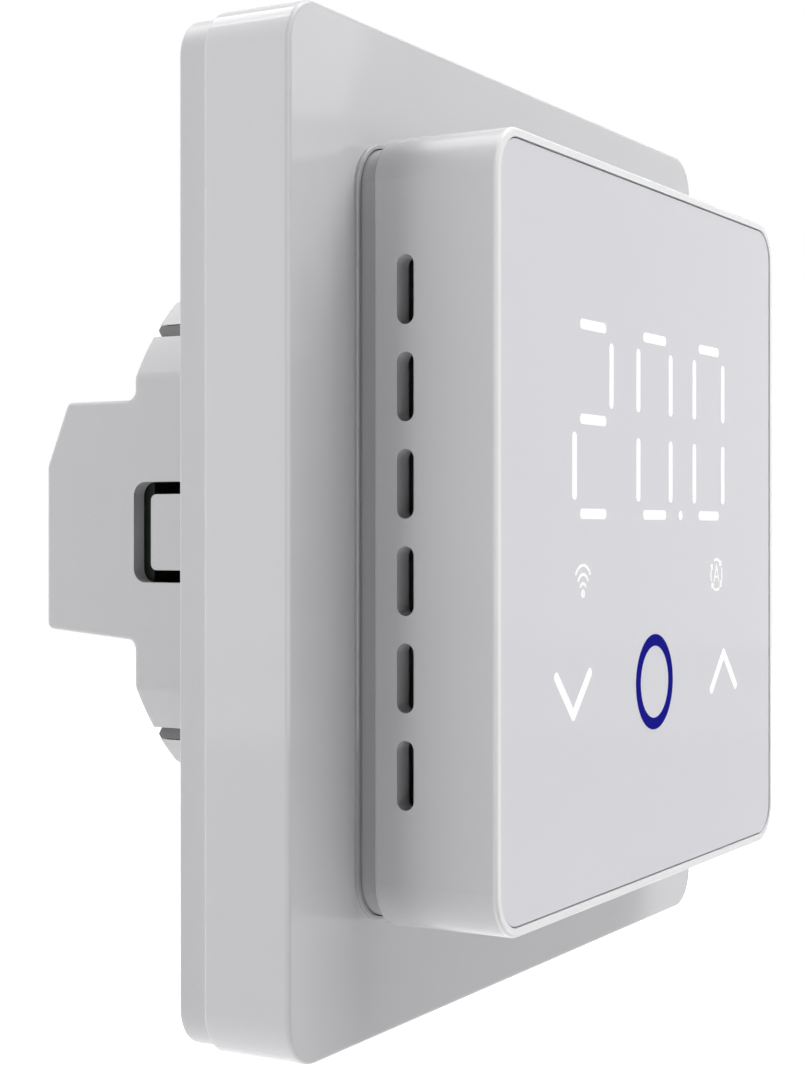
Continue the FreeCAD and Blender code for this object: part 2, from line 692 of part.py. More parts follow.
def latch_tongue(side):
    """Springy tongue in the housing's flat: pressing it in frees the housing."""
    return tongue_outline(side, 0.0, 0.0, 0.0, TONGUE_CORNER, BODY_WALL / 2)


def prong_corners(inset, y0, y1):
    """Four blocks over the corners of the housing's inside, where the groove walls stand."""
    x = GROOVE_FLOOR - GROOVE_WALL - inset
    z = PRONG_OFFSET_Z - GROOVE_HALF - GROOVE_WALL - inset
    return [box(sx * x, sx * BODY_RADIUS, y0, y1, sz * z, sz * BODY_RADIUS) for sx, sz in four(1, 1)]


def power_unit_cover():
    """Lid of the in-wall housing, with a locating rim, a window for the socket and four screw holes."""
    lid = flatted(FLANGE_RADIUS, FLANGE_HALF_X, FLANGE_HALF_Z, LID_FRONT, FLANGE_FRONT)
    lid = soften_front(lid, LID_ARRIS, LID_FRONT)
    rim_rear = FLANGE_FRONT + LID_RIM
    rim = cavity_bar(CLIP_GAP, FLANGE_FRONT, rim_rear)
    rim = rim.cut(cavity_bar(CLIP_GAP + LID_RIM_WALL, FLANGE_FRONT, rim_rear))
    necks = [
        rod_y(x, z, LID_NECK_RADIUS + 3 * EASY_GAP, FLANGE_FRONT, LONG)
        for x, z in four(LID_SCREW_X, LID_SCREW_Z)
    ]
    rim = minus(rim, *necks, *prong_corners(EASY_GAP, FLANGE_FRONT, LONG))
    holes = [
        rod_y(x, z, SCREW_RADIUS + SCREW_HOLE_GAP, -LONG, LONG)
        for x, z in four(LID_SCREW_X, LID_SCREW_Z)
    ]
    window = slab(PLUG_HALF_X + EASY_GAP, SOCKET_HALF_Z + EASY_GAP, WINDOW_ROUND, -LONG, LONG, 0, PLUG_Z)
    return minus(fused(lid, rim), window, *holes, *cup_rooms())


def lid_screws():
    """Four screws that close the power unit."""
    length = LID_THICK + LID_SCREW_BITE - SCREW_END_GAP
    return [pan_screw(x, z, LID_FRONT, length) for x, z in four(LID_SCREW_X, LID_SCREW_Z)]


def power_board():
    """Main circuit board of the power unit, notched around the screw necks and the groove walls."""
    board = cavity_bar(2 * EASY_GAP, POWER_BOARD_FRONT, POWER_BOARD_REAR)
    notches = []
    for x, z in four(LID_SCREW_X, LID_SCREW_Z):
        reach = LID_NECK_RADIUS + EASY_GAP
        out_x = math.copysign(BODY_RADIUS, x)
        out_z = math.copysign(reach, z)
        notches.append(rod_y(x, z, reach, -LONG, LONG))
        notches.append(box(x, out_x, -LONG, LONG, z - out_z, z + out_z))
    return minus(board, *notches, *prong_corners(EASY_GAP, -LONG, LONG))


def stand(place):
    """Block standing on the rear of the power board, its far edges rounded."""
    x, z, half_x, half_z, height = place
    top = POWER_BOARD_REAR + height
    block = box(x - half_x, x + half_x, POWER_BOARD_REAR, top, z - half_z, z + half_z)
    return soften_rear(block, BLOCK_ARRIS, top)


def transformer():
    """Small switching transformer: a base, a ferrite core with two outer legs, and a round winding."""
    x = TRANSFORMER_X
    z = TRANSFORMER_Z
    half = TRANSFORMER_HALF
    low = POWER_BOARD_REAR + TRANSFORMER_BASE
    top = POWER_BOARD_REAR + TRANSFORMER_HEIGHT
    core = TRANSFORMER_CORE
    pieces = [
        box(x - half, x + half, low, low + core, z - half, z + half),
        box(x - half, x + half, top - core, top, z - half, z + half),
        rod_y(x, z, WINDING_RADIUS, low + core, top - core),
    ]
    for side in (-1, 1):
        edge = z + side * half
        pieces.append(box(x - half, x + half, low, top, edge, edge - side * 1.5 * core))
    return fused(box(x - half, x + half, POWER_BOARD_REAR, low, z - half, z + half), *pieces)


def can_capacitor(place):
    """Electrolytic can standing on the board, with a rolled groove near its foot and a scored top."""
    x, z, radius, height = place
    foot = POWER_BOARD_REAR
    top = foot + height
    can = soften_rear(rod_y(x, z, radius, foot, top), CAN_ARRIS, top)
    ring = rod_y(x, z, radius + 1, foot + CAN_GROOVE_FOOT, foot + CAN_GROOVE_FOOT + CAN_GROOVE_WIDTH)
    groove = ring.cut(rod_y(x, z, radius - CAN_GROOVE_DEPTH, foot, top))
    reach = radius * 0.7
    score = box(x - reach, x + reach, top - CAN_SCORE, top + 1, z - CAN_SCORE / 2, z + CAN_SCORE / 2)
    return minus(can, groove, score)


def varistor():
    """Disc varistor across the mains input, standing on its two legs."""
    y = POWER_BOARD_REAR + VARISTOR_LIFT + VARISTOR_RADIUS
    half = VARISTOR_THICK / 2
    disc = rod_z(VARISTOR_X, y, VARISTOR_RADIUS, VARISTOR_Z - half, VARISTOR_Z + half)
    disc = disc.makeFillet(VARISTOR_THICK / 3, [e for e in disc.Edges if not ends_of(e)])
    legs = [
        rod_y(VARISTOR_X + side * VARISTOR_RADIUS / 2, VARISTOR_Z, LEG_RADIUS, POWER_BOARD_REAR, y)
        for side in (-1, 1)
    ]
    return fused(disc, *legs)


def board_fuse():
    """Axial fuse lying above the board between its two legs."""
    y = POWER_BOARD_REAR + FUSE_RADIUS + 2 * EASY_GAP
    high = FUSE_LOW_Z + FUSE_LENGTH
    barrel = rod_z(FUSE_X, y, FUSE_RADIUS, FUSE_LOW_Z, high)
    caps = [rod_z(FUSE_X, y, FUSE_RADIUS + FUSE_CAP_STEP, z, z + FUSE_CAP_LENGTH)
            for z in (FUSE_LOW_Z, high - FUSE_CAP_LENGTH)]
    legs = [rod_y(FUSE_X, z, LEG_RADIUS, POWER_BOARD_REAR, y)
            for z in (FUSE_LOW_Z + FUSE_CAP_LENGTH / 2, high - FUSE_CAP_LENGTH / 2)]
    return fused(barrel, *caps, *legs)


def header_socket():
    """Socket that takes the module's pins, standing out through the lid's window."""
    low = PLUG_Z - SOCKET_HALF_Z
    high = PLUG_Z + SOCKET_HALF_Z
    body = box(-PLUG_HALF_X, PLUG_HALF_X, SOCKET_FRONT, POWER_BOARD_FRONT, low, high)
    half = PIN_HOLE_SIDE / 2
    floor = PIN_TIP + 2 * EASY_GAP
    holes = [
        box(x - half, x + half, SOCKET_FRONT - 1, floor, PLUG_Z - half, PLUG_Z + half)
        for x in row(PLUG_PINS, PLUG_PITCH)
    ]
    return minus(body, *holes)


def link_pins():
    """Upright pins that carry power between the two boards."""
    half = LINK_SIDE / 2
    return [
        box(LINK_X - half, LINK_X + half, POWER_BOARD_REAR, TERMINAL_BOARD_FRONT, z - half, z + half)
        for z in row(LINK_PINS, LINK_PITCH)
    ]


def terminal_board():
    """Small board at the foot of the tower that carries the terminals."""
    half_x = CAVITY_HALF_X - EASY_GAP
    risen = max(0.0, TERMINAL_BOARD_FRONT - BODY_DEPTH) / (TOWER_DEPTH - BODY_WALL - BODY_DEPTH)
    low = BODY_WALL + EASY_GAP - TOWER_BOTTOM + TOWER_DRAFT * risen
    high = TOWER_TOP - BODY_WALL - EASY_GAP
    return box(-half_x, half_x, TERMINAL_BOARD_FRONT, TERMINAL_BOARD_REAR, low, high)


def terminal_block():
    """Moulded block with one chamber, screw bore and wire entry for each terminal."""
    block = box(-BLOCK_HALF_X, BLOCK_HALF_X, TERMINAL_BOARD_REAR, BLOCK_REAR, -BLOCK_BOTTOM, BLOCK_TOP)
    block = soften_rear(block, BLOCK_ARRIS, BLOCK_REAR)
    half = CAGE_WIDTH / 2 + CLIP_GAP
    low = CAGE_LOW - CLIP_GAP
    high = CAGE_HIGH + CLIP_GAP
    slot = CONTACT_WIDTH / 2 + CLIP_GAP
    cuts = []
    for x in row(TERMINALS, TERMINAL_PITCH):
        cuts.append(box(x - half, x + half, CAGE_FRONT - THREAD_GAP, CHAMBER_END, low, high))
        cuts.append(rod_y(x, TERMINAL_Z, TERMINAL_HEAD_RADIUS + CLIP_GAP, HEAD_SEAT, BLOCK_REAR + 1))
        cuts.append(rod_y(x, TERMINAL_Z, TERMINAL_SCREW_RADIUS + CLIP_GAP, CHAMBER_END - 1, HEAD_SEAT + 1))
        cuts.append(wire_entry(x, -BLOCK_BOTTOM - 1, low + CLIP_GAP))
        cuts.append(box(x - slot, x + slot, TERMINAL_BOARD_REAR - 1, CONTACT_REAR + THREAD_GAP,
                        high - CLIP_GAP, CONTACT_HIGH + CLIP_GAP))
    return minus(block, *cuts)


def terminal_contacts():
    """Fixed contact bars that pass through the cages and turn down to the board."""
    half = CONTACT_WIDTH / 2
    bars = []
    bend = CONTACT_HIGH - CONTACT_THICK
    for x in row(TERMINALS, TERMINAL_PITCH):
        bar = box(x - half, x + half, CONTACT_FRONT, CONTACT_REAR, CAGE_LOW, CONTACT_HIGH)
        leg = box(x - half, x + half, TERMINAL_BOARD_REAR, CONTACT_REAR, bend, CONTACT_HIGH)
        bars.append(fused(bar, leg))
    return bars


def terminal_cage(x):
    """Rising clamp cage: a loop around the contact bar, tapped for its screw."""
    half = CAGE_WIDTH / 2
    loop = box(x - half, x + half, CAGE_FRONT, CAGE_REAR, CAGE_LOW, CAGE_HIGH)
    loop = soften_front(loop, CAGE_ARRIS, CAGE_FRONT)
    inside = half - CAGE_SIDE
    tap_front = CAGE_REAR - CAGE_TAP_WALL
    hollow = box(x - inside, x + inside, CAGE_FRONT + CAGE_FLOOR, tap_front, CAGE_LOW - 1, CAGE_HIGH + 1)
    tap = rod_y(x, TERMINAL_Z, TERMINAL_SCREW_RADIUS + THREAD_GAP, tap_front - 1, CAGE_REAR + 1)
    return minus(loop, hollow, tap)


def terminal_screw(x):
    """Slotted clamp screw, its head facing the rear of the tower."""
    seat = HEAD_SEAT + THREAD_GAP
    top = seat + TERMINAL_HEAD_HEIGHT
    head = soften_rear(rod_y(x, TERMINAL_Z, TERMINAL_HEAD_RADIUS, seat, top), SCREW_ARRIS, top)
    shank = rod_y(x, TERMINAL_Z, TERMINAL_SCREW_RADIUS, CAGE_REAR - CAGE_TAP_WALL, seat)
    half = TERMINAL_SLOT_WIDTH / 2
    slot = box(x - LONG, x + LONG, top - TERMINAL_SLOT_DEPTH, top + 1, TERMINAL_Z - half, TERMINAL_Z + half)
    return minus(fused(head, shank), slot)


# ---------------------------------------------------------------- cover frame
def cover_frame():
    """Square frame with a raised lip around its window, a skirt behind it and stiffening ribs."""
    shell = square(FRAME_HALF, FRAME_CORNER, FRAME_FRONT, FRAME_REAR)
    shell = soften_front(shell, FRAME_ARRIS, FRAME_FRONT)
    shell = soften_rear(shell, RING_ARRIS, FRAME_REAR)
    hollow = square(FRAME_INNER_HALF, FRAME_CORNER - FRAME_WALL, FRAME_FRONT + FRAME_FACE, 0)
    shell = minus(shell, hollow)
    lip_front = FRAME_FRONT - LIP_HEIGHT
    inside = FRAME_FRONT + FRAME_FACE / 2
    lip = square(WINDOW_HALF + LIP_WIDTH, WINDOW_CORNER + LIP_WIDTH, lip_front, inside)
    lip = soften_front(lip, LIP_ARRIS, lip_front)
    skirt_half = WINDOW_HALF + SKIRT_WALL
    skirt_rear = FRAME_FRONT + FRAME_FACE + SKIRT_HEIGHT
    skirt = square(skirt_half, WINDOW_CORNER + SKIRT_WALL, inside, skirt_rear)
    ribs = []
    for place in row(FRAME_RIBS, FRAME_RIB_PITCH):
        low = place - FRAME_RIB_THICK / 2
        high = place + FRAME_RIB_THICK / 2
        rear = skirt_rear - FRAME_RIB_STEP
        for side in (-1, 1):
            inner = side * (skirt_half - SKIRT_WALL / 2)
            outer = side * (FRAME_INNER_HALF + FRAME_WALL / 2)
            ribs.append(box(inner, outer, inside, rear, low, high))
            ribs.append(box(low, high, inside, rear, inner, outer))
    window = square(WINDOW_HALF, WINDOW_CORNER, -LONG, LONG)
    return minus(fused(shell, lip, skirt, *ribs), window)


# ---------------------------------------------------------------- display module
def display_housing():
    """Square housing of the module, with a thin bezel around the glass and vents in both sides."""
    shell = square(MODULE_HALF, MODULE_CORNER, MODULE_FRONT, MODULE_REAR)
    shell = soften_front(shell, MODULE_ARRIS, MODULE_FRONT)
    shell = soften_rear(shell, MODULE_REAR_ARRIS, MODULE_REAR)
    recess = square(RECESS_HALF, MODULE_CORNER - BEZEL_RIM, MODULE_FRONT - 1, SHELF_FRONT)
    mouth = square(SHELF_HALF, SHELF_CORNER, MODULE_FRONT - 1, MODULE_REAR)
    hollow = square(MODULE_INNER_HALF, MODULE_CORNER - MODULE_WALL, SHELF_REAR, MODULE_REAR + 1)
    shell = minus(shell, recess, mouth, hollow, *[vent(z) for z in row(VENTS, VENT_PITCH)])
    posts = []
    pilots = []
    for x, z in four(MODULE_SCREW_X, MODULE_SCREW_Z):
        wall = math.copysign(MODULE_INNER_HALF + MODULE_WALL / 2, z)
        front = SHELF_FRONT + SHELF_THICK / 3
        posts.append(rod_y(x, z, MODULE_BOSS_RADIUS, DISPLAY_BOARD_FRONT, MODULE_REAR))
        posts.append(rod_y(x, z, MODULE_FOOT_RADIUS, front, DISPLAY_BOARD_FRONT))
        posts.append(box(x - MODULE_WEB / 2, x + MODULE_WEB / 2, front, DISPLAY_BOARD_FRONT, z, wall))
        pilots.append(rod_y(x, z, SCREW_RADIUS + THREAD_GAP, DISPLAY_BOARD_FRONT, MODULE_REAR + 1))
    return minus(fused(shell, *posts), *pilots)


def vent(z):
    """Upright slot through both side walls, with round ends."""
    y = MODULE_REAR - VENT_FROM_REAR
    reach = (VENT_LENGTH - VENT_WIDTH) / 2
    core = box(-LONG, LONG, y - VENT_WIDTH / 2, y + VENT_WIDTH / 2, z - reach, z + reach)
    return fused(core, *[rod_x(y, z + side * reach, VENT_WIDTH / 2, -LONG, LONG) for side in (-1, 1)])


def glass_panel():
    """Flat glass front, set a touch below the bezel."""
    pane = square(GLASS_HALF, MODULE_CORNER - BEZEL_RIM - GLASS_GAP, GLASS_FRONT, GLASS_REAR)
    return soften_front(pane, GLASS_ARRIS, GLASS_FRONT)


def glass_tape():
    """Thin adhesive frame that holds the glass on the housing's shelf."""
    outer = square(GLASS_HALF - EASY_GAP, MODULE_CORNER - BEZEL_RIM - GLASS_GAP, GLASS_REAR, SHELF_FRONT)
    return outer.cut(square(SHELF_HALF + TAPE_THICK, SHELF_CORNER, GLASS_REAR, SHELF_FRONT))


def digit_segments(cx):
    """Centre and direction of the seven segments of one digit."""
    bars = [(cx, DIGIT_MID_Z + level * DIGIT_RISE, False) for level in (-1, 0, 1)]
    for sx, sz in four(SEGMENT_OFFSET_X, DIGIT_RISE / 2):
        bars.append((cx + sx, DIGIT_MID_Z + sz, True))
    return bars


def all_segments():
    """Every segment of the three digits."""
    return [bar for cx in row(DIGITS, DIGIT_PITCH) for bar in digit_segments(cx)]


def light_windows(y0, y1, grow):
    """Cutters for the segments, the decimal point, the two icons and the three touch keys."""
    cuts = []
    for x, z, upright in all_segments():
        cuts.append(obround(x, z, SEGMENT_LENGTH + 2 * grow, SEGMENT_THICK + 2 * grow, y0, y1, upright))
    cuts.append(rod_y(DOT_OFFSET_X, DIGIT_MID_Z - DIGIT_RISE, SEGMENT_THICK / 2 + grow, y0, y1))
    half = ICON_SIZE / 2 + grow
    for x in (-ICON_X, ICON_X):
        cuts.append(slab(half, half, WINDOW_ROUND, y0, y1, x, ICON_Z))
    for x in (-KEY_X, 0.0, KEY_X):
        cuts.append(rod_y(x, KEY_Z, KEY_RADIUS, y0, y1))
    return cuts


def display_mask():
    """Printed film behind the glass, open where light passes and at the housing's screw posts."""
    half = SHELF_HALF - EASY_GAP
    film = square(half, SHELF_CORNER, GLASS_REAR, MASK_REAR)
    reach = MODULE_FOOT_RADIUS + EASY_GAP
    notches = []
    for x, z in four(MODULE_SCREW_X, MODULE_SCREW_Z):
        inner = z - math.copysign(reach, z)
        notches.append(box(x - reach, x + reach, -LONG, LONG, inner, math.copysign(LONG, z)))
    return minus(film, *light_windows(GLASS_REAR - 1, MASK_REAR + 1, 0.0), *notches)


def reflector_block():
    """White block of light wells between the film and the display board."""
    half_x = KEY_X + KEY_RADIUS + REFLECTOR_MARGIN
    low = KEY_Z - KEY_RADIUS - REFLECTOR_MARGIN
    high = DIGIT_MID_Z + DIGIT_RISE + SEGMENT_THICK / 2 + REFLECTOR_MARGIN
    block = box(-half_x, half_x, MASK_REAR, DISPLAY_BOARD_FRONT, low, high)
    block = soften_uprights(block, REFLECTOR_CORNER)
    return minus(block, *light_windows(MASK_REAR - 1, DISPLAY_BOARD_FRONT + 1, WELL_GROW))


def display_board():
    """Control board of the module, held on the four posts."""
    board = square(MODULE_INNER_HALF - BOARD_MARGIN, BOARD_CORNER, DISPLAY_BOARD_FRONT, DISPLAY_BOARD_REAR)
    holes = [
        rod_y(x, z, MODULE_BOSS_RADIUS + EASY_GAP, -LONG, LONG)
        for x, z in four(MODULE_SCREW_X, MODULE_SCREW_Z)
    ]
    return minus(board, *holes)


def segment_leds():
    """One small light source in each well."""
    places = [(x, z) for x, z, upright in all_segments()]
    places.append((DOT_OFFSET_X, DIGIT_MID_Z - DIGIT_RISE))
    places += [(-ICON_X, ICON_Z), (ICON_X, ICON_Z)]
    half = LED_SIDE / 2
    return [
        box(x - half, x + half, DISPLAY_BOARD_FRONT - LED_HEIGHT, DISPLAY_BOARD_FRONT, z - half, z + half)
        for x, z in places
    ]


def touch_pads():
    """Conductive foam posts that carry the touch signal from the glass to the board."""
    return [rod_y(x, KEY_Z, TOUCH_PAD_RADIUS, GLASS_REAR, DISPLAY_BOARD_FRONT) for x in (-KEY_X, 0.0, KEY_X)]


def wireless_module():
    """Radio module: a small board with a metal can, on the rear of the display board."""
    x0, x1, z0, z1 = RADIO_PLACE
    board_rear = DISPLAY_BOARD_REAR + RADIO_BOARD
    board = box(x0, x1, DISPLAY_BOARD_REAR, board_rear, z0, z1)
    can_rear = board_rear + RADIO_CAN
    can = box(x0 + RADIO_AERIAL, x1 - RADIO_EDGE, board_rear, can_rear, z0 + RADIO_EDGE, z1 - RADIO_EDGE)
    return fused(board, soften_rear(can, CHIP_ARRIS, can_rear))


def control_chips():
    """Controller, touch sensor and display driver on the rear of the display board."""
    chips = []
    for x, z, half_x, half_z, height in CONTROL_CHIPS:
        top = DISPLAY_BOARD_REAR + height
        chip = box(x - half_x, x + half_x, DISPLAY_BOARD_REAR, top, z - half_z, z + half_z)
        chips.append(soften_rear(chip, CHIP_ARRIS, top))
    return chips


def temperature_sensor():
    """Bead thermistor on two wires, close to the lowest vent."""
    x = SENSOR_INSET - MODULE_INNER_HALF
    z = row(VENTS, VENT_PITCH)[0]
    y = MODULE_REAR - VENT_FROM_REAR
    bead = Part.makeSphere(BEAD_RADIUS, V(x, y, z))
    wires = [
        rod_y(x, z + side * BEAD_RADIUS / 2, SENSOR_WIRE, DISPLAY_BOARD_REAR, y)
        for side in (-1, 1)
    ]
    return fused(bead, *wires)


def plug_base():
    """Plastic base of the module's plug."""
    low = PLUG_Z - PLUG_BASE_HALF_Z
    high = PLUG_Z + PLUG_BASE_HALF_Z
    return box(-PLUG_HALF_X, PLUG_HALF_X, DISPLAY_BOARD_REAR, PLUG_BASE_REAR, low, high)


def plug_pins():
    """Long pins that reach through the frame's window into the socket."""
    half = PIN_SIDE / 2
    pins = []
    for x in row(PLUG_PINS, PLUG_PITCH):
        pin = box(x - half, x + half, PLUG_BASE_REAR, PIN_TIP, PLUG_Z - half, PLUG_Z + half)
        pins.append(soften_rear(pin, PIN_SIDE / 4, PIN_TIP))
    return pins


def module_back_cover():
    """Back of the module: a plate, a collar that enters the frame's window and four guide posts."""
    plate = square(COLLAR_HALF, COLLAR_CORNER, MODULE_REAR, COLLAR_REAR)
    plate = soften_rear(plate, COLLAR_ARRIS, COLLAR_REAR)
    hollow = square(COLLAR_HALF - COLLAR_WALL, COLLAR_CORNER - COLLAR_WALL, COVER_REAR, COLLAR_REAR + 1)
    rib_front = MODULE_REAR - LOCATING_RIB
    rib_half = MODULE_INNER_HALF - CLIP_GAP
    rib = square(rib_half, MODULE_CORNER - MODULE_WALL - CLIP_GAP, rib_front, MODULE_REAR)
    rib = rib.cut(square(rib_half - RIB_WALL, COLLAR_CORNER - COLLAR_WALL, rib_front, MODULE_REAR))
    vents_reach = VENTS * VENT_PITCH / 2
    vent_room = box(-LONG, LONG, rib_front, MODULE_REAR - RIB_AT_VENTS, -vents_reach, vents_reach)
    cover = fused(minus(plate, hollow), rib.cut(vent_room), *guide_posts())
    base_room = PLUG_BASE_HALF_Z + 2 * EASY_GAP
    window = slab(PLUG_HALF_X + 2 * EASY_GAP, base_room, WINDOW_ROUND, -LONG, LONG, 0, PLUG_Z)
    holes = [
        rod_y(x, z, SCREW_RADIUS + SCREW_HOLE_GAP, -LONG, COVER_REAR + 1)
        for x, z in four(MODULE_SCREW_X, MODULE_SCREW_Z)
    ]
    return minus(cover, window, *holes)


def guide_posts():
    """Four posts that enter the base ring's cups, each with a wider shoulder."""
    posts = []
    for x, z in four(POST_OFFSET, POST_OFFSET):
        posts.append(soften_rear(rod_y(x, z, POST_RADIUS, COVER_REAR, POST_TIP), POST_ARRIS, POST_TIP))
        posts.append(rod_y(x, z, POST_RADIUS + POST_SHOULDER, COVER_REAR, COLLAR_REAR - EASY_GAP))
    return posts


def module_screws():
    """Four screws through the back cover into the housing's posts, heads towards the wall."""
    screws = []
    for x, z in four(MODULE_SCREW_X, MODULE_SCREW_Z):
        screw = pan_screw(0, 0, 0, MODULE_SCREW_BITE)
        screw.rotate(V(0, 0, 0), V(0, 0, 1), 180)
        screw.translate(V(x, COVER_REAR, z))
        screws.append(screw)
    return screws


# ---------------------------------------------------------------- build
def save(name, shape):
    """Write one node; a list of solids becomes one group."""
    if isinstance(shape, list):
        shape = Part.makeCompound(shape)
    if not shape.isValid() or not shape.Solids:
        raise RuntimeError(name + " is not a valid solid")
    shape.exportStep("parts/" + name + ".step")
    print(name, len(shape.Solids), "solid(s)", round(shape.Volume, 2), "mm3")


def build():
    """Make every node of the thermostat."""
    os.makedirs("parts", exist_ok=True)
    nodes = {
        "mounting_yoke": mounting_yoke(),
        "base_ring": base_ring(),
        "rear_housing": rear_housing(),
        "latch_tongue_left": latch_tongue(-1),
        "latch_tongue_right": latch_tongue(1),
        "power_unit_cover": power_unit_cover(),
        "power_unit_screws": lid_screws(),
        "power_board": power_board(),
        "relay": stand(RELAY),
        "transformer": transformer(),
        "bulk_capacitor": can_capacitor(BULK_CAPACITOR),
        "output_capacitor": can_capacitor(OUTPUT_CAPACITOR),
        "mains_capacitor": stand(MAINS_CAPACITOR),
        "varistor": varistor(),
        "board_fuse": board_fuse(),
        "power_chips": [stand(place) for place in POWER_CHIPS],
        "header_socket": header_socket(),
        "link_pins": link_pins(),
        "terminal_board": terminal_board(),
        "terminal_block": terminal_block(),
        "terminal_contacts": terminal_contacts(),
        "cover_frame": cover_frame(),
        "display_housing": display_housing(),
        "glass_panel": glass_panel(),
        "glass_tape": glass_tape(),
        "display_mask": display_mask(),
        "reflector_block": reflector_block(),
        "display_board": display_board(),
        "segment_leds": segment_leds(),
        "touch_pads": touch_pads(),
        "wireless_module": wireless_module(),
        "control_chips": control_chips(),
        "temperature_sensor": temperature_sensor(),
        "plug_base": plug_base(),
        "plug_pins": plug_pins(),
        "module_back_cover": module_back_cover(),
        "module_screws": module_screws(),
    }
    for number, x in enumerate(row(TERMINALS, TERMINAL_PITCH), start=1):
        nodes["terminal_cage_" + str(number)] = terminal_cage(x)
        nodes["terminal_screw_" + str(number)] = terminal_screw(x)
    for name, shape in nodes.items():
        save(name, shape)


build()
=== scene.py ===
import math

import bmesh
import bpy
from bpy.props import FloatProperty, FloatVectorProperty, PointerProperty
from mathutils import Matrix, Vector


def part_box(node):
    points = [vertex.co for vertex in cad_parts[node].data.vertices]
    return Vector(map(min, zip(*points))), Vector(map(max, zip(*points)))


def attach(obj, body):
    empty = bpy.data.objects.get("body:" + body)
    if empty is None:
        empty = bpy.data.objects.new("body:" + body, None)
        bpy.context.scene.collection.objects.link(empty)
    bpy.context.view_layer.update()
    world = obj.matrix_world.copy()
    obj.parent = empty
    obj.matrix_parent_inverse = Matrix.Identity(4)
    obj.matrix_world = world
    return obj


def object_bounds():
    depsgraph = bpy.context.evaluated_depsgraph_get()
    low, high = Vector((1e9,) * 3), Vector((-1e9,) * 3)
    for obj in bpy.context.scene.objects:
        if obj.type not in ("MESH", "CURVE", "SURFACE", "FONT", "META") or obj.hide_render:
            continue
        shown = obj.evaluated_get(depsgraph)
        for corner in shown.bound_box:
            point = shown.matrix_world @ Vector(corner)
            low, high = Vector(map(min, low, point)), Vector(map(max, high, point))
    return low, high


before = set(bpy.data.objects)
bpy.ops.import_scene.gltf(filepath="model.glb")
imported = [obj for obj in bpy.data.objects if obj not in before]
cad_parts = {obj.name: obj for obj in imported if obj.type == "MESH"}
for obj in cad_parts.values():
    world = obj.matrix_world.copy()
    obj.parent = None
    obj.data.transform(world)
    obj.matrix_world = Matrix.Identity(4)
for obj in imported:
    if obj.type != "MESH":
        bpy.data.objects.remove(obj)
CAD_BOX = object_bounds()

bl_info = {
    "name": "Wall Thermostat",
    "version": (1, 0, 0),
    "blender": (4, 5, 0),
    "location": "View3D > Sidebar > Thermostat",
    "description": "Finishes, glass markings and studio for a wall thermostat",
    "category": "Add Mesh",
}

GLASS_LOW, GLASS_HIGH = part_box("glass_panel")
FACE_Y = GLASS_LOW.y
FACE_X = (GLASS_LOW.x + GLASS_HIGH.x) / 2
FACE_Z = (GLASS_LOW.z + GLASS_HIGH.z) / 2
LIP_HEIGHT = 0.0004
FRAME_FRONT_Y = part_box("cover_frame")[0].y + LIP_HEIGHT

# Fineness: corners of a circle, angle of one step of an arc, fewest steps of an arc, share of a bar's width
# that each rounded corner takes, largest angle that is shaded smooth, how straight back a deep edge runs
CIRCLE_CORNERS = 96
ARC_STEP = 0.15
LEAST_ARC_STEPS = 6
ROUND_SHARE = 0.495
SMOOTH_ANGLE = math.radians(35)
STRAIGHT_SHARE = 0.99

# Radio icon: each wave is (height, radius, spread in degrees), and its dot is (height, radius, band)
RADIO_WAVES = ((-0.0004, 0.00186, 114), (-0.00059, 0.00124, 118), (-0.00084, 0.0007, 122))
RADIO_DOT = (-0.00104, 0.00037, 0.00026)

# Automatic mode icon: its letter, and the arrows round it as (end, spread) in degrees
LETTER_TOP = 0.00096
LETTER_FOOT = (0.00064, -0.00065)
LETTER_LEVEL = (0.00042, -0.00021)
FINE_SHARE = 0.8
TURN_RADIUS = 0.00156
TURN_ARROWS = ((36, 80), (140, 64), (215, 84), (-49, 74))
ARROWHEAD_LENGTH = 0.0004
ARROWHEAD_ANGLE = math.radians(42)

# Painted light bands in the shell's plastic: (depth of the middle, half the width, fade at either side)
# Painted highlight: a lighter band on the frame's front edge, just behind its front face
FRAME_EDGE_HIGHLIGHT_BAND = (FRAME_FRONT_Y + 0.00018, 0.00006, 0.0001)
# Painted shade: the frame's lip round its window is painted darker
LIP_SHADE_BAND = (FRAME_FRONT_Y - 0.0003, 0.00023, 0.00006)
# Painted highlight: the module's front rim and its arris are painted lighter than the rest of its plastic
MODULE_RIM_HIGHLIGHT_BAND = (CAD_BOX[0].y, 0.0002, 0.0002)
# Painted highlight on the frame's front edge: the rim highlight colour darkened by this share
FRAME_EDGE_HIGHLIGHT_TINT = -0.12
# Painted shade: the module's plastic is painted this share darker than the frame's
MODULE_SHADE_TINT = -0.04

# Where soft patterns start and end to change colour
SOFT_STOPS = (0.3, 0.7)

# Moulded plastic: scales of its patterns, shares of cloud and fleck in its shade, spread of its gloss as
# shares of its roughness, and strength of its relief
CLOUD_SCALE = 55
FLECK_SCALE = 2600
GLOSS_SCALE = 140
WAVE_SCALE = 450
CLOUD_SHARE = 0.8
FLECK_SHARE = 0.2
MOULDED_GLOSS = (0.85, 1.18)
MOULDED_RELIEF = 0.5

# Metal: scales of its streaks and patches, stretch of a full streak, tints of its colour, spread of its gloss
# as shares of its roughness, and strength of its relief
STREAK_SCALE = 2200
PATCH_SCALE = 260
STREAK_STRETCH = 24
METAL_TINTS = (-0.05, 0.04)
METAL_GLOSS = (0.85, 1.2)
METAL_RELIEF = 0.4

# Painted glass: tints of its colour, and range of its roughness
GLASS_TINTS = (-0.008, 0.008)
GLASS_ROUGH = (0.03, 0.06)

# Markings: strength of their light, tints of its colour, and tints of the paint under it
MARK_GLOW = 0.72
MARK_LIGHT_TINTS = (-0.03, 0.0)
MARK_PAINT_TINTS = (-0.64, -0.6)

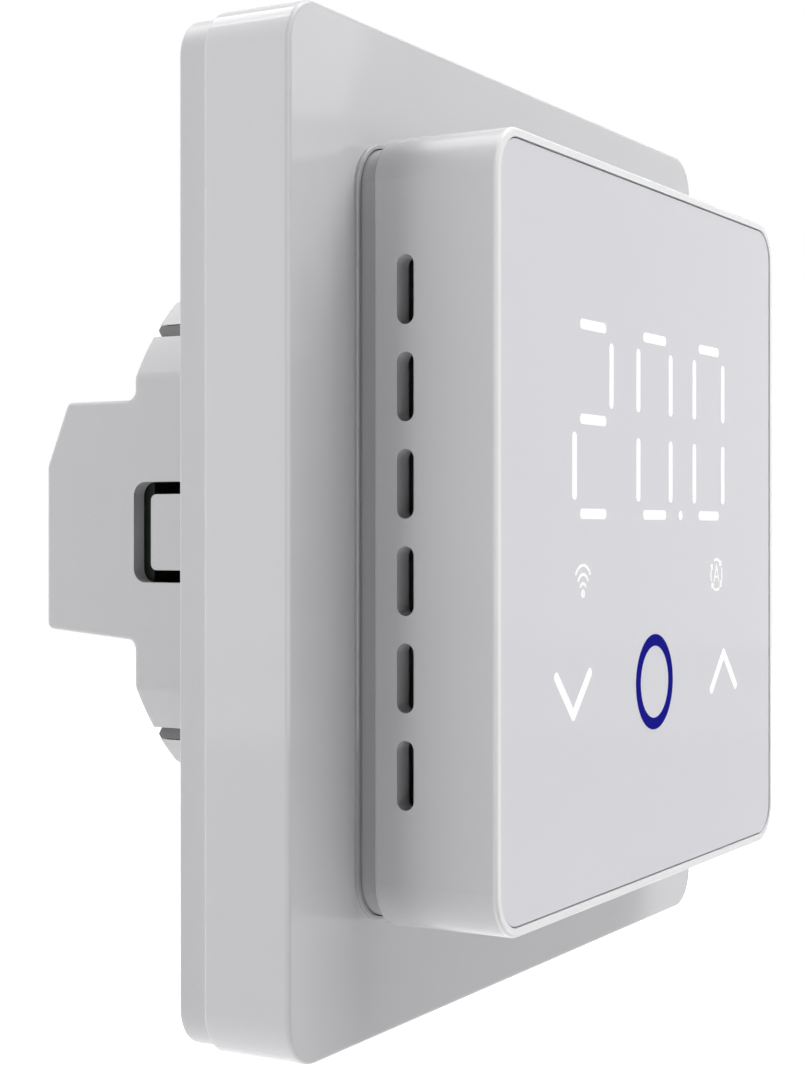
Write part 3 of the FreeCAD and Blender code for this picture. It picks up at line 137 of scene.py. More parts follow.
# Floor: darkest and lightest grey of its paper, in front and behind, and the depths where one turns into the
# other; its brightness to the camera close by and far off, with those two distances, and in reflections
FLOOR_RADIUS = 4
FRONT_PAPER = (0.44, 0.46)
BACK_PAPER = (0.84, 0.86)
PAPER_TURN = (-0.05, 0.1)
FLOOR_SEEN = (0.6, 1.0)
FLOOR_REACH = (0.2, 0.55)
FLOOR_MIRRORED = 0.6

# Lamps: (name, place, size in metres, power in watts)
GLOSS_CARD = "gloss card"
LAMPS = (
    ("top right lamp", (0.875, -0.875, 1.75), 1.5, 15.5),
    ("top front lamp", (0.375, -0.95, 1.875), 1.5, 19.5),
    ("broad front lamp", (1.5, -2.25, 2.25), 3.5, 41.3),
    ("right fill lamp", (2.0, -1.0, 0.125), 1.25, 1.8),
    ("left back lamp", (-1.5, 1.5, 0.25), 1.75, 18.6),
    ("upper left back lamp", (-1.0, 1.0, 1.625), 1.5, 14.9),
    ("top back lamp", (0.125, 0.95, 1.65), 1.0, 9.8),
    (GLOSS_CARD, (-0.9, -1.6, 0.6), 2.0, 60.0),
)
SENSOR_WIDTH = 36
NEAREST_SEEN = 0.01


# ---------------------------------------------------------------- sizes and colours a user may change

class MarkingSizes(bpy.types.PropertyGroup):
    """Sizes of what shows on the glass, measured from the middle of the glass."""

    relief: FloatProperty(
        name="Relief", description="How far a marking stands proud of the glass",
        default=0.00003, unit="LENGTH", precision=5)
    stroke: FloatProperty(
        name="Digit stroke", description="Width of a digit's bars",
        default=0.00092, unit="LENGTH", precision=5)
    digit_pitch: FloatProperty(
        name="Digit pitch", description="Distance from one digit to the next",
        default=0.01414, unit="LENGTH", precision=5)
    digit_height: FloatProperty(
        name="Digit height", description="Height of the digits' middle bars on the glass",
        default=0.00992, unit="LENGTH", precision=5)
    digit_rise: FloatProperty(
        name="Digit rise", description="Distance from the middle bar to the top and bottom bars",
        default=0.0083, unit="LENGTH", precision=5)
    level_length: FloatProperty(
        name="Level bar length", description="Length of a level bar of a digit",
        default=0.0056, unit="LENGTH", precision=5)
    upright_length: FloatProperty(
        name="Upright bar length", description="Length of an upright bar of a digit",
        default=0.0059, unit="LENGTH", precision=5)
    upright_offset: FloatProperty(
        name="Upright bar offset", description="Distance of the upright bars from the digit's middle",
        default=0.00397, unit="LENGTH", precision=5)
    dot_offset: FloatProperty(
        name="Dot offset", description="Distance of the decimal dot from the middle digit",
        default=0.00655, unit="LENGTH", precision=5)
    icon_offset: FloatProperty(
        name="Icon offset", description="Distance of the two icons from the middle line",
        default=0.01632, unit="LENGTH", precision=5)
    icon_height: FloatProperty(
        name="Icon height", description="Height of the icons on the glass",
        default=-0.00433, unit="LENGTH", precision=5)
    icon_stroke: FloatProperty(
        name="Icon stroke", description="Width of the icons' lines",
        default=0.00024, unit="LENGTH", precision=5)
    key_offset: FloatProperty(
        name="Key offset", description="Distance of the two arrow keys from the middle line",
        default=0.01835, unit="LENGTH", precision=5)
    key_height: FloatProperty(
        name="Key height", description="Height of the three keys on the glass",
        default=-0.01413, unit="LENGTH", precision=5)
    arrow_half: FloatProperty(
        name="Arrow half width", description="Half the width of an arrow key, to the middle of its line",
        default=0.00343, unit="LENGTH", precision=5)
    arrow_rise: FloatProperty(
        name="Arrow rise", description="Height of an arrow key, to the middle of its line",
        default=0.00353, unit="LENGTH", precision=5)
    arrow_stroke: FloatProperty(
        name="Arrow stroke", description="Width of an arrow key's line",
        default=0.00088, unit="LENGTH", precision=5)
    ring_radius: FloatProperty(
        name="Ring radius", description="Outer radius of the ring key",
        default=0.0045, unit="LENGTH", precision=5)
    ring_band: FloatProperty(
        name="Ring band", description="Width of the ring key's band",
        default=0.0011, unit="LENGTH", precision=5)


def colour_setting(name, description, value):
    """A colour that a user may change."""
    return FloatVectorProperty(
        name=name, description=description, subtype="COLOR", size=3, min=0, max=1, default=value)


class Finishes(bpy.types.PropertyGroup):
    """Colours of the shell, the glass and its markings."""

    shell_colour: colour_setting(
        "Shell", "Glossy plastic of the cover frame and the module", (0.66, 0.66, 0.675))
    # Painted highlight on the module's front rim; a darker tint of it is the painted highlight on the frame's
    # front edge
    rim_highlight_colour: colour_setting("Rim highlight", "Painted highlight on the front rim of the display module", (0.9, 0.9, 0.91))
    ring_plate_colour: colour_setting("Ring plate", "Ring behind the cover frame", (0.59, 0.59, 0.605))
    collar_colour: colour_setting("Collar", "Neck between the module and the frame", (0.48, 0.48, 0.49))
    # Painted shade on the frame's lip, close to the collar
    lip_shade_colour: colour_setting("Lip shade", "Painted shade on the low lip round the window of the cover frame", (0.46, 0.46, 0.47))
    housing_colour: colour_setting("Housing", "Satin plastic of the in-wall housing", (0.545, 0.545, 0.558))
    glass_colour: colour_setting("Glass", "Paint behind the front glass", (0.768, 0.768, 0.803))
    mark_colour: colour_setting("Markings", "Lit digits, icons and arrow keys", (1.0, 1.0, 1.0))
    ring_colour: colour_setting("Ring key", "Lit ring key", (0.0116, 0.0116, 0.2307))


class StudioSettings(bpy.types.PropertyGroup):
    """Camera, floor and background."""

    lens: FloatProperty(
        name="Lens", description="Focal length on a 36 mm frame, in millimetres", default=66.54)
    camera_turn: FloatProperty(
        name="Camera turn", description="How far the camera looks to the right of straight ahead",
        default=math.radians(60.408), subtype="ANGLE")
    camera_place: FloatVectorProperty(
        name="Camera place", description="Where the camera stands",
        default=(-0.17586, -0.09681, 0.00019), subtype="TRANSLATION", precision=5)
    camera_shift: FloatProperty(
        name="Camera shift", description="Vertical shift of the lens", default=-0.00912, precision=5)
    floor_drop: FloatProperty(
        name="Floor drop", description="Distance of the floor below the thermostat",
        default=0.2, unit="LENGTH")
    floor_glow: FloatProperty(
        name="Floor glow", description="Light that the floor gives back to the underside", default=0.39)
    sky_level: FloatProperty(
        name="Sky level", description="Even light from all round, besides the lamps", default=0.0)


# ---------------------------------------------------------------- modelling helpers

def only(*objects):
    """Selects these objects and nothing else; the first is the active one."""
    bpy.ops.object.select_all(action="DESELECT")
    for piece in objects:
        piece.select_set(True)
    bpy.context.view_layer.objects.active = objects[0]


def settle(name, size=None):
    """Names the primitive that was just added, gives it its size and moves its place into its mesh."""
    piece = bpy.context.active_object
    piece.name = piece.data.name = name
    if size:
        piece.scale = size
    only(piece)
    bpy.ops.object.transform_apply(location=True, rotation=True, scale=True)
    return piece


def pick(piece, kind, test):
    """In edit mode, selects the faces, edges or corners that pass a test, and nothing else."""
    bpy.ops.mesh.select_mode(type=kind)
    bpy.ops.mesh.select_all(action="DESELECT")
    mesh = bmesh.from_edit_mesh(piece.data)
    parts = {"VERT": mesh.verts, "EDGE": mesh.edges, "FACE": mesh.faces}[kind]
    for part in parts:
        if test(part):
            part.select_set(True)
    mesh.select_flush_mode()
    bmesh.update_edit_mesh(piece.data)


def is_deep(edge):
    """True for an edge that runs front to back."""
    span = edge.verts[0].co - edge.verts[1].co
    return abs(span.y) > STRAIGHT_SHARE * span.length


def joined(name, pieces):
    """One object from several, under a new name."""
    only(*pieces)
    if len(pieces) > 1:
        bpy.ops.object.join()
    piece = bpy.context.active_object
    piece.name = piece.data.name = name
    return piece


def union(first, second):
    """Merges two overlapping solids into one skin."""
    only(first)
    merge = first.modifiers.new("union", "BOOLEAN")
    merge.operation = "UNION"
    merge.solver = "EXACT"
    merge.object = second
    bpy.ops.object.modifier_apply(modifier=merge.name)
    bpy.data.objects.remove(second)
    return first


def lay_on_glass(piece, material, body="display_module"):
    """Gives a marking its finish and lets it ride with the module."""
    piece.data.materials.clear()
    piece.data.materials.append(material)
    only(piece)
    bpy.ops.object.shade_smooth_by_angle(angle=SMOOTH_ANGLE)
    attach(piece, body)


def bar(name, x, z, length, width, turn=0.0):
    """Round-ended bar lying on the glass, level unless it is turned."""
    sizes = bpy.context.scene.marking_sizes
    bpy.ops.mesh.primitive_cube_add(
        size=1, location=(FACE_X + x, FACE_Y, FACE_Z + z), rotation=(0, turn, 0))
    piece = settle(name, (length, 2 * sizes.relief, width))
    bpy.ops.object.mode_set(mode="EDIT")
    pick(piece, "EDGE", is_deep)
    bpy.ops.mesh.bevel(offset=width * ROUND_SHARE, segments=8, profile=0.5, affect="EDGES")
    bpy.ops.object.mode_set(mode="OBJECT")
    return piece


def disc(name, x, z, radius, band=0.0):
    """Flat round marking on the glass, open in the middle if it has a band."""
    sizes = bpy.context.scene.marking_sizes
    bpy.ops.mesh.primitive_circle_add(
        vertices=CIRCLE_CORNERS, radius=radius, fill_type="NGON", rotation=(math.pi / 2, 0, 0),
        location=(FACE_X + x, FACE_Y + sizes.relief, FACE_Z + z))
    piece = settle(name)
    bpy.ops.object.mode_set(mode="EDIT")
    bpy.ops.mesh.select_mode(type="FACE")
    bpy.ops.mesh.select_all(action="SELECT")
    if band:
        bpy.ops.mesh.inset(thickness=band)
        bpy.ops.mesh.delete(type="FACE")
        bpy.ops.mesh.select_all(action="SELECT")
    bpy.ops.mesh.extrude_region_move(TRANSFORM_OT_translate={"value": (0, -2 * sizes.relief, 0)})
    bpy.ops.mesh.select_all(action="SELECT")
    bpy.ops.mesh.normals_make_consistent(inside=False)
    bpy.ops.object.mode_set(mode="OBJECT")
    return piece


def arc(name, x, z, radius, width, middle, spread):
    """Curved line on the glass, round a centre, spread either side of its middle angle."""
    sizes = bpy.context.scene.marking_sizes
    start = middle - spread / 2
    centre = Vector((FACE_X + x, FACE_Y, FACE_Z + z))
    place = centre + radius * Vector((math.cos(start), 0, math.sin(start)))
    bpy.ops.mesh.primitive_plane_add(size=1, location=place, rotation=(0, -start, 0))
    piece = settle(name, (width, 2 * sizes.relief, 1))
    bpy.ops.object.mode_set(mode="EDIT")
    bpy.ops.mesh.select_all(action="SELECT")
    steps = max(LEAST_ARC_STEPS, round(spread / ARC_STEP))
    bpy.ops.mesh.spin(steps=steps, dupli=False, angle=spread, center=centre, axis=(0, 1, 0))
    bpy.ops.mesh.select_all(action="SELECT")
    bpy.ops.mesh.remove_doubles(threshold=1e-7)
    bpy.ops.mesh.normals_make_consistent(inside=False)
    bpy.ops.object.mode_set(mode="OBJECT")
    return piece


def line(name, start, end, width):
    """Round-ended bar on the glass between two points."""
    run = end[0] - start[0], end[1] - start[1]
    middle = (start[0] + end[0]) / 2, (start[1] + end[1]) / 2
    return bar(name, *middle, math.hypot(*run) + width, width, -math.atan2(run[1], run[0]))


def turn_arrow(x, z, radius, width, end, spread):
    """Clockwise arrow bent round a centre: its head is at the end angle."""
    tip = x + radius * math.cos(end), z + radius * math.sin(end)
    arrow = arc("turn", x, z, radius, width, end + spread / 2, spread)
    for side in (-1, 1):
        back = end + math.pi / 2 - side * ARROWHEAD_ANGLE
        spur = tip[0] + ARROWHEAD_LENGTH * math.cos(back), tip[1] + ARROWHEAD_LENGTH * math.sin(back)
        arrow = union(arrow, line("spur", tip, spur, width * FINE_SHARE))
    return arrow


# ---------------------------------------------------------------- materials

class Recipe:
    """The node tree of a new material, built step by step."""

    def __init__(self, name):
        self.material = bpy.data.materials.new(name)
        self.material.use_nodes = True
        self.tree = self.material.node_tree
        self.tree.nodes.clear()
        self.place = self.add("ShaderNodeTexCoord").outputs["Object"]

    def add(self, kind, links=None, values=None, **settings):
        """Adds a node, sets it up and joins it to what was made before."""
        node = self.tree.nodes.new(kind)
        for key, value in settings.items():
            setattr(node, key, value)
        for key, value in (values or {}).items():
            node.inputs[key].default_value = value
        for key, socket in (links or {}).items():
            self.tree.links.new(socket, node.inputs[key])
        return node

    def noise(self, scale, detail=2.0, roughness=0.5, place=None):
        """Soft cloudy pattern."""
        return self.add(
            "ShaderNodeTexNoise", {"Vector": place or self.place},
            {"Scale": scale, "Detail": detail, "Roughness": roughness}).outputs["Fac"]

    def shades(self, fac, *stops):
        """Colour ramp from (position, colour) stops."""
        ramp = self.add("ShaderNodeValToRGB", {"Fac": fac})
        stop_list = ramp.color_ramp.elements
        while len(stop_list) < len(stops):
            stop_list.new(0.5)
        for stop, (position, colour) in zip(stop_list, stops):
            stop.position = position
            stop.color = (*colour[:3], 1)
        return ramp.outputs["Color"]

    def mottled(self, fac, colour, darker, lighter, low=0.2, high=0.8):
        """A colour that goes from one tint of itself to another."""
        return self.shades(fac, (low, tinted(colour, darker)), (high, tinted(colour, lighter)))

    def span(self, value, low, high, from_low=0.0, from_high=1.0):
        """Brings a value into a range."""
        return self.add(
            "ShaderNodeMapRange", {"Value": value},
            {"From Min": from_low, "From Max": from_high, "To Min": low, "To Max": high}
        ).outputs["Result"]

    def sum(self, first, second, operation="ADD"):
        """Adds two values, or joins them by another operation."""
        node = self.add("ShaderNodeMath", operation=operation)
        for slot, value in enumerate((first, second)):
            if isinstance(value, (int, float)):
                node.inputs[slot].default_value = value
            else:
                self.tree.links.new(value, node.inputs[slot])
        return node.outputs["Value"]

    def blend(self, fac, first, second):
        """Goes from the first colour to the second."""
        node = self.add("ShaderNodeMix", {"Factor": fac}, data_type="RGBA")
        sockets = [socket for socket in node.inputs if socket.type == "RGBA"]
        for colour, socket in zip((first, second), sockets):
            self.tree.links.new(colour, socket)
        return [socket for socket in node.outputs if socket.type == "RGBA"][0]

    def bump(self, height, strength, distance):
        """Relief from a height."""
        return self.add(
            "ShaderNodeBump", {"Height": height}, {"Strength": strength, "Distance": distance}
        ).outputs["Normal"]

    def shader(self, links, values):
        """The surface itself."""
        surface = self.add("ShaderNodeBsdfPrincipled", links, values)
        self.add("ShaderNodeOutputMaterial", {"Surface": surface.outputs["BSDF"]})
        return self.material


def tinted(colour, share):
    """A colour made lighter or darker by a share."""
    return tuple(max(0.0, min(1.0, part * (1 + share))) for part in colour)


def moulded(name, colour, rough, spread=0.04, grain=0.00004, wave=0.0, shine=0.5, cells=4500, painted_light_bands=()):
    """Moulded plastic: slight clouding, uneven gloss, fine grain and a shallow long wave.

    A band of painted highlight or painted shade round one depth: (colour, depth, half width, fade).
    """
    r = Recipe(name)
    cloud = r.noise(CLOUD_SCALE, 4)
    fleck = r.noise(FLECK_SCALE, 1)
    shade = r.sum(r.sum(cloud, CLOUD_SHARE, "MULTIPLY"), r.sum(fleck, FLECK_SHARE, "MULTIPLY"))
    base = r.mottled(shade, colour, -spread, spread)
    # Painted highlight or painted shade in a band round one depth
    for other, depth, half, fade in painted_light_bands:
        here = r.add("ShaderNodeSeparateXYZ", {"Vector": r.place}).outputs["Y"]
        away = r.sum(r.sum(here, depth, "SUBTRACT"), 0.0, "ABSOLUTE")
        painted_light = r.mottled(shade, other, -spread, spread)
        base = r.blend(r.span(away, 1.0, 0.0, half, half + fade), base, painted_light)
    least, most = MOULDED_GLOSS
    gloss = r.span(r.noise(GLOSS_SCALE, 3), rough * least, rough * most, 0.1, 0.9)
    height = r.sum(r.noise(cells, 2), r.sum(r.noise(WAVE_SCALE, 1), wave, "MULTIPLY"))
    return r.shader(
        {"Base Color": base, "Roughness": gloss, "Normal": r.bump(height, MOULDED_RELIEF, grain)},
        {"Specular IOR Level": shine, "IOR": 1.5})


def metal(name, colour, rough, streak=0.0, grain=0.00003):
    """Plated or brushed metal: drawn streaks, dull patches and fine scratches."""
    r = Recipe(name)
    stretch = (1, 1, 1 + STREAK_STRETCH * streak)
    drawn = r.add("ShaderNodeMapping", {"Vector": r.place}, {"Scale": stretch})
    lines = r.noise(STREAK_SCALE, 3, 0.6, drawn.outputs["Vector"])
    patches = r.noise(PATCH_SCALE, 3)
    shade = r.sum(r.sum(lines, 0.5, "MULTIPLY"), r.sum(patches, 0.5, "MULTIPLY"))
    base = r.mottled(shade, colour, *METAL_TINTS)
    least, most = METAL_GLOSS
    gloss = r.span(patches, rough * least, rough * most, 0.15, 0.85)
    return r.shader(
        {"Base Color": base, "Roughness": gloss, "Normal": r.bump(lines, METAL_RELIEF, grain)},
        {"Metallic": 1.0})


def shell_finishes():
    """Finishes of the outer shell, by slot."""
    look = bpy.context.scene.finishes
    r = Recipe("painted front glass")
    base = r.mottled(r.noise(30, 3), look.glass_colour, *GLASS_TINTS, *SOFT_STOPS)
    glass = r.shader(
        {"Base Color": base, "Roughness": r.span(r.noise(90, 3), *GLASS_ROUGH, *SOFT_STOPS),
         "Normal": r.bump(r.noise(40, 2), 0.1, 0.00001)},
        {"IOR": 1.52, "Specular IOR Level": 0.08})
    return {
        "frame_plastic": moulded(
            "silver gloss frame", look.shell_colour, 0.045, spread=0.01, grain=0.000002, wave=0.6, shine=0.3,
            painted_light_bands=(
                # painted highlight on the frame's front edge
                (tinted(look.rim_highlight_colour, FRAME_EDGE_HIGHLIGHT_TINT), *FRAME_EDGE_HIGHLIGHT_BAND),
                # painted shade on the lip round the frame's window
                (look.lip_shade_colour, *LIP_SHADE_BAND))),
        "module_plastic": moulded(
            # the module's plastic is painted darker than the frame's as painted shade
            "silver gloss module", tinted(look.shell_colour, MODULE_SHADE_TINT), 0.24,
            spread=0.01, grain=0.000003, wave=0.6, shine=0.35,
            # painted highlight on the module's front rim
            painted_light_bands=((look.rim_highlight_colour, *MODULE_RIM_HIGHLIGHT_BAND),)),
        "ring_plastic": moulded(
            "silver satin ring", look.ring_plate_colour, 0.3, spread=0.012, grain=0.00001, shine=0.3),
        "collar_plastic": moulded(
            "grey satin collar", look.collar_colour, 0.3, spread=0.012, grain=0.00001, shine=0.3),
        "housing_plastic": moulded(
            "pale satin housing", look.housing_colour, 0.42, spread=0.02, grain=0.00003),
        "lid_plastic": moulded("pale satin lid", look.housing_colour, 0.42, spread=0.02, grain=0.00003),
        "front_glass": glass,
    }


def inner_finishes():
    """Finishes of the boards, metal parts and components, by slot."""
    return {
        "tape_black": moulded("black tape", (0.03, 0.03, 0.03), 0.6),
        "mask_film": moulded("printed film", (0.7, 0.7, 0.73), 0.5, spread=0.01),
        "reflector_white": moulded("white light wells", (0.85, 0.85, 0.85), 0.45, spread=0.02),
        "pad_foam": moulded(
            "black foam pads", (0.05, 0.05, 0.05), 0.85, spread=0.2, grain=0.0002, cells=2200),
        "board_green": moulded("olive black solder resist", (0.014, 0.021, 0.012), 0.4, spread=0.1),
        "relay_black": moulded("black relay case", (0.03, 0.03, 0.03), 0.4),
        "ferrite": moulded("dark ferrite", (0.06, 0.06, 0.06), 0.6, spread=0.2),
        "can_sleeve": moulded("dark blue can sleeve", (0.05, 0.06, 0.12), 0.25),
        "film_yellow": moulded("yellow block capacitor", (0.7, 0.55, 0.1), 0.3),
        "varistor_blue": moulded("blue dipped varistor", (0.05, 0.15, 0.5), 0.25),
        "fuse_ceramic": moulded("cream ceramic", (0.8, 0.78, 0.7), 0.5),
        "chip_black": moulded("black chip", (0.03, 0.03, 0.03), 0.5),
        "connector_black": moulded("black connector", (0.04, 0.04, 0.04), 0.4),
        "block_green": moulded("olive black terminal block", (0.022, 0.027, 0.018), 0.5, spread=0.08),
        "led_white": moulded("white light chips", (0.9, 0.9, 0.85), 0.3),
        "sensor_epoxy": moulded("black sensor bead", (0.05, 0.05, 0.05), 0.2),
        "yoke_steel": metal("dark passivated yoke", (0.11, 0.11, 0.112), 0.5, streak=1.0),
        "screw_steel": metal("zinc plated screws", (0.42, 0.42, 0.435), 0.35),
        "cage_steel": metal("zinc plated cages", (0.45, 0.45, 0.46), 0.35),
        "shield_steel": metal("tinned can", (0.6, 0.6, 0.6), 0.3),
        "contact_brass": metal("bright brass contacts", (0.72, 0.55, 0.25), 0.3, streak=0.5),
        "pin_brass": metal("gilt pins", (0.8, 0.66, 0.34), 0.25),
    }


def lit(name, colour):
    """Lit marking: a glow that is a touch weaker in places, over dark paint without gloss."""
    r = Recipe(name)
    shade = r.mottled(r.noise(900, 2), colour, *MARK_LIGHT_TINTS, *SOFT_STOPS)
    paint = r.mottled(r.noise(900, 2), colour, *MARK_PAINT_TINTS, *SOFT_STOPS)
    return r.shader(
        {"Base Color": paint, "Emission Color": shade, "Roughness": r.span(r.noise(700), 0.4, 0.6)},
        {"Emission Strength": MARK_GLOW, "Specular IOR Level": 0.0})


# ---------------------------------------------------------------- studio helpers

def add_floor(settings):
    """White paper floor: the camera and reflections see it lit, and it lights the underside."""
    bpy.ops.mesh.primitive_circle_add(
        vertices=CIRCLE_CORNERS, radius=FLOOR_RADIUS, fill_type="NGON",
        location=(0, 0, CAD_BOX[0].z - settings.floor_drop))
    floor = settle("floor")
    r = Recipe("white paper floor")
    grain = r.noise(300, 3)
    depth = r.add("ShaderNodeSeparateXYZ", {"Vector": r.place}).outputs["Y"]
    turn = r.span(depth, 0.0, 1.0, *PAPER_TURN)
    papers = []
    for greys in (FRONT_PAPER, BACK_PAPER):
        papers.append(r.shades(grain, *((stop, (grey,) * 3) for stop, grey in zip(SOFT_STOPS, greys))))
    paper = r.add("ShaderNodeBsdfDiffuse", {"Color": r.blend(turn, *papers)})
    path = r.add("ShaderNodeLightPath").outputs
    reach = r.add("ShaderNodeVectorMath", {0: r.place}, operation="LENGTH").outputs["Value"]
    near = r.sum(path["Is Camera Ray"], r.span(reach, *FLOOR_SEEN, *FLOOR_REACH), "MULTIPLY")
    mirrored = r.sum(path["Is Glossy Ray"], path["Is Transmission Ray"], "MAXIMUM")
    seen = r.sum(near, r.sum(mirrored, FLOOR_MIRRORED, "MULTIPLY"), "MAXIMUM")
    glow = r.add("ShaderNodeEmission", {"Strength": r.sum(seen, settings.floor_glow, "MAXIMUM")})
    both = r.add("ShaderNodeAddShader")
    r.tree.links.new(paper.outputs[0], both.inputs[0])
    r.tree.links.new(glow.outputs[0], both.inputs[1])
    r.add("ShaderNodeOutputMaterial", {"Surface": both.outputs[0]})
    floor.data.materials.append(r.material)


def add_background(scene, settings):
    """White background for the camera and reflections; it lights the rest only by the sky level."""
    world = bpy.data.worlds.new("white studio")
    world.use_nodes = True
    scene.world = world
    tree = world.node_tree
    tree.nodes.clear()
    path = tree.nodes.new("ShaderNodeLightPath").outputs
    seen = path["Is Camera Ray"]
    for name in ("Is Glossy Ray", "Is Transmission Ray"):
        more = tree.nodes.new("ShaderNodeMath")
        more.operation = "MAXIMUM"
        tree.links.new(seen, more.inputs[0])
        tree.links.new(path[name], more.inputs[1])
        seen = more.outputs[0]
    level = tree.nodes.new("ShaderNodeMapRange")
    level.inputs["To Min"].default_value = settings.sky_level
    tree.links.new(seen, level.inputs["Value"])
    sky = tree.nodes.new("ShaderNodeBackground")
    sky.inputs["Color"].default_value = (1, 1, 1, 1)
    tree.links.new(level.outputs["Result"], sky.inputs["Strength"])
    output = tree.nodes.new("ShaderNodeOutputWorld")
    tree.links.new(sky.outputs[0], output.inputs["Surface"])


def add_lamps():
    """Area lamps that face the thermostat; the gloss card adds no diffuse light."""
    for name, place, size, power in LAMPS:
        bpy.ops.object.light_add(type="AREA", location=place)
        lamp = bpy.context.active_object
        lamp.name = lamp.data.name = name
        lamp.data.size = size
        lamp.data.energy = power
        lamp.visible_diffuse = name != GLOSS_CARD
        lamp.rotation_euler = (-Vector(place)).to_track_quat("-Z", "Y").to_euler()


def add_camera(scene, settings):
    """Level camera in front of the thermostat's left side."""
    bpy.ops.object.camera_add(
        location=settings.camera_place, rotation=(math.pi / 2, 0, -settings.camera_turn))
    camera = bpy.context.active_object
    camera.data.sensor_width = SENSOR_WIDTH
    camera.data.lens = settings.lens
    camera.data.shift_y = settings.camera_shift
    camera.data.clip_start = NEAREST_SEEN
    scene.camera = camera


# ---------------------------------------------------------------- operators

class THERMOSTAT_OT_finishes(bpy.types.Operator):
    """Gives every part of the thermostat its finish"""

    bl_idname = "thermostat.finishes"
    bl_label = "Finishes"

    def execute(self, context):
        found = {**shell_finishes(), **inner_finishes()}
        for name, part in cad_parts.items():
            for place in part.material_slots:
                slot_name = place.material.name.split(".")[0]
                if slot_name not in found:
                    raise ValueError(f"{name} has no finish for {slot_name}")
                place.link = "OBJECT"
                place.material = found[slot_name]
        return {"FINISHED"}


class THERMOSTAT_OT_digits(bpy.types.Operator):
    """Adds the three lit digits and their dot"""

    bl_idname = "thermostat.digits"
    bl_label = "Digits"

    def execute(self, context):
        sizes = context.scene.marking_sizes
        white = lit("white digit light", context.scene.finishes.mark_colour)
        level = bar("level", 0, 0, sizes.level_length, sizes.stroke)
        upright = bar("upright", 0, 0, sizes.upright_length, sizes.stroke, math.pi / 2)
        strokes = {
            "digit_tens": (-1, "t", "ur", "m", "ll", "b"),
            "digit_units": (0, "t", "ul", "ur", "ll", "lr", "b"),
            "digit_tenths": (1, "t", "ul", "ur", "ll", "lr", "b"),
        }
        heights = {"t": 1, "m": 0, "b": -1, "u": 0.5, "l": -0.5}
        for name, (column, *marks) in strokes.items():
            bars = []
            for mark in marks:
                pattern = level if len(mark) == 1 else upright
                side = {"l": -1, "r": 1}[mark[1]] if len(mark) == 2 else 0
                part = pattern.copy()
                part.data = pattern.data.copy()
                context.collection.objects.link(part)
                part.location = (
                    column * sizes.digit_pitch + side * sizes.upright_offset, 0,
                    sizes.digit_height + heights[mark[0]] * sizes.digit_rise)
                bars.append(part)
            digit = joined(name, bars)
            bpy.ops.object.transform_apply(location=True, rotation=True, scale=True)
            lay_on_glass(digit, white)
        bpy.data.objects.remove(level)
        bpy.data.objects.remove(upright)
        dot = disc("decimal_dot", sizes.dot_offset, sizes.digit_height - sizes.digit_rise, sizes.stroke / 2)
        lay_on_glass(dot, white)
        return {"FINISHED"}


class THERMOSTAT_OT_icons(bpy.types.Operator):
    """Adds the radio waves icon and the automatic mode icon"""

    bl_idname = "thermostat.icons"
    bl_label = "Icons"

    def execute(self, context):
        sizes = context.scene.marking_sizes
        white = lit("white icon light", context.scene.finishes.mark_colour)
        x, z, w = -sizes.icon_offset, sizes.icon_height, sizes.icon_stroke
        waves = []
        for height, radius, spread in RADIO_WAVES:
            waves.append(arc("wave", x, z + height, radius, w, math.pi / 2, math.radians(spread)))
        height, radius, band = RADIO_DOT
        waves.append(disc("wave_dot", x, z + height, radius, band))
        lay_on_glass(joined("radio_icon", waves), white)
        x = sizes.icon_offset
        fine = w * FINE_SHARE
        top = x, z + LETTER_TOP
        out, height = LETTER_FOOT
        letter = line("letter", top, (x - out, z + height), fine)
        letter = union(letter, line("leg", top, (x + out, z + height), fine))
        out, height = LETTER_LEVEL
        marks = [union(letter, line("level", (x - out, z + height), (x + out, z + height), fine))]
        for end, spread in TURN_ARROWS:
            marks.append(turn_arrow(x, z, TURN_RADIUS, w, math.radians(end), math.radians(spread)))
        lay_on_glass(joined("auto_icon", marks), white)
        return {"FINISHED"}


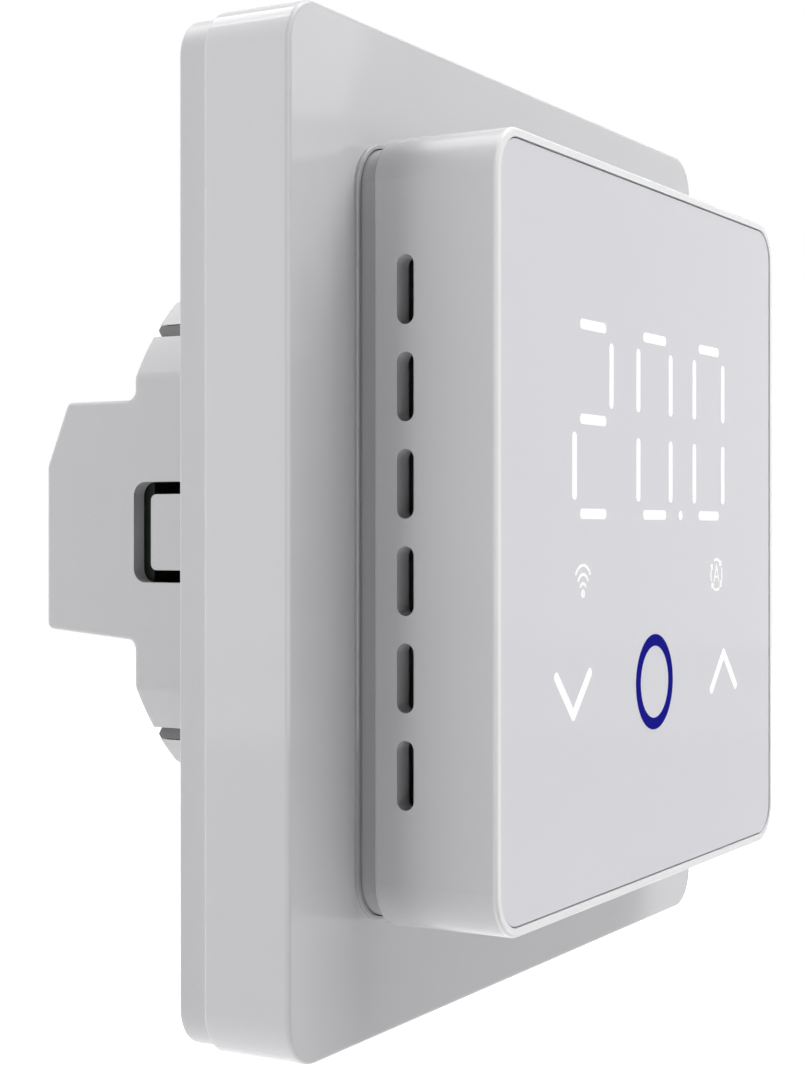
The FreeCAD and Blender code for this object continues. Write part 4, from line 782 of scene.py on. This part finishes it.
class THERMOSTAT_OT_keys(bpy.types.Operator):
    """Adds the down, ring and up keys"""

    bl_idname = "thermostat.keys"
    bl_label = "Keys"

    def execute(self, context):
        sizes = context.scene.marking_sizes
        white = lit("white key light", context.scene.finishes.mark_colour)
        slope = math.atan2(sizes.arrow_rise, sizes.arrow_half)
        length = math.hypot(sizes.arrow_rise, sizes.arrow_half) + sizes.arrow_stroke
        for name, side, sense in (("down_key", -1, 1), ("up_key", 1, -1)):
            x, z = side * sizes.key_offset, sizes.key_height
            left = bar(name, x - sizes.arrow_half / 2, z, length, sizes.arrow_stroke, sense * slope)
            right = bar(name, x + sizes.arrow_half / 2, z, length, sizes.arrow_stroke, -sense * slope)
            arrow = union(left, right)
            arrow.name = arrow.data.name = name
            lay_on_glass(arrow, white)
        ring = disc("ring_key", 0, sizes.key_height, sizes.ring_radius, sizes.ring_band)
        lay_on_glass(ring, lit("blue key light", context.scene.finishes.ring_colour))
        return {"FINISHED"}


class THERMOSTAT_OT_studio(bpy.types.Operator):
    """Adds the floor, the background, the lamps and the camera"""

    bl_idname = "thermostat.studio"
    bl_label = "Studio"

    def execute(self, context):
        settings = context.scene.studio
        add_floor(settings)
        add_background(context.scene, settings)
        add_lamps()
        add_camera(context.scene, settings)
        context.scene.view_settings.view_transform = "Standard"
        return {"FINISHED"}


class THERMOSTAT_PT_panel(bpy.types.Panel):
    """Lists the steps and the settings"""

    bl_idname = "THERMOSTAT_PT_panel"
    bl_label = "Wall Thermostat"
    bl_space_type = "VIEW_3D"
    bl_region_type = "UI"
    bl_category = "Thermostat"

    def draw(self, context):
        for operator in OPERATORS:
            self.layout.operator(operator.bl_idname)
        for group in (context.scene.marking_sizes, context.scene.finishes, context.scene.studio):
            box = self.layout.box()
            for name in group.__annotations__:
                box.prop(group, name)


OPERATORS = (
    THERMOSTAT_OT_finishes,
    THERMOSTAT_OT_digits,
    THERMOSTAT_OT_icons,
    THERMOSTAT_OT_keys,
    THERMOSTAT_OT_studio,
)
CLASSES = (MarkingSizes, Finishes, StudioSettings, *OPERATORS, THERMOSTAT_PT_panel)


def register():
    for item in CLASSES:
        bpy.utils.register_class(item)
    bpy.types.Scene.marking_sizes = PointerProperty(type=MarkingSizes)
    bpy.types.Scene.finishes = PointerProperty(type=Finishes)
    bpy.types.Scene.studio = PointerProperty(type=StudioSettings)


def unregister():
    del bpy.types.Scene.studio
    del bpy.types.Scene.finishes
    del bpy.types.Scene.marking_sizes
    for item in reversed(CLASSES):
        bpy.utils.unregister_class(item)


def main():
    register()
    bpy.ops.thermostat.studio()
    bpy.ops.thermostat.finishes()
    bpy.ops.thermostat.digits()
    bpy.ops.thermostat.icons()
    bpy.ops.thermostat.keys()


if __name__ == "__main__":
    main()
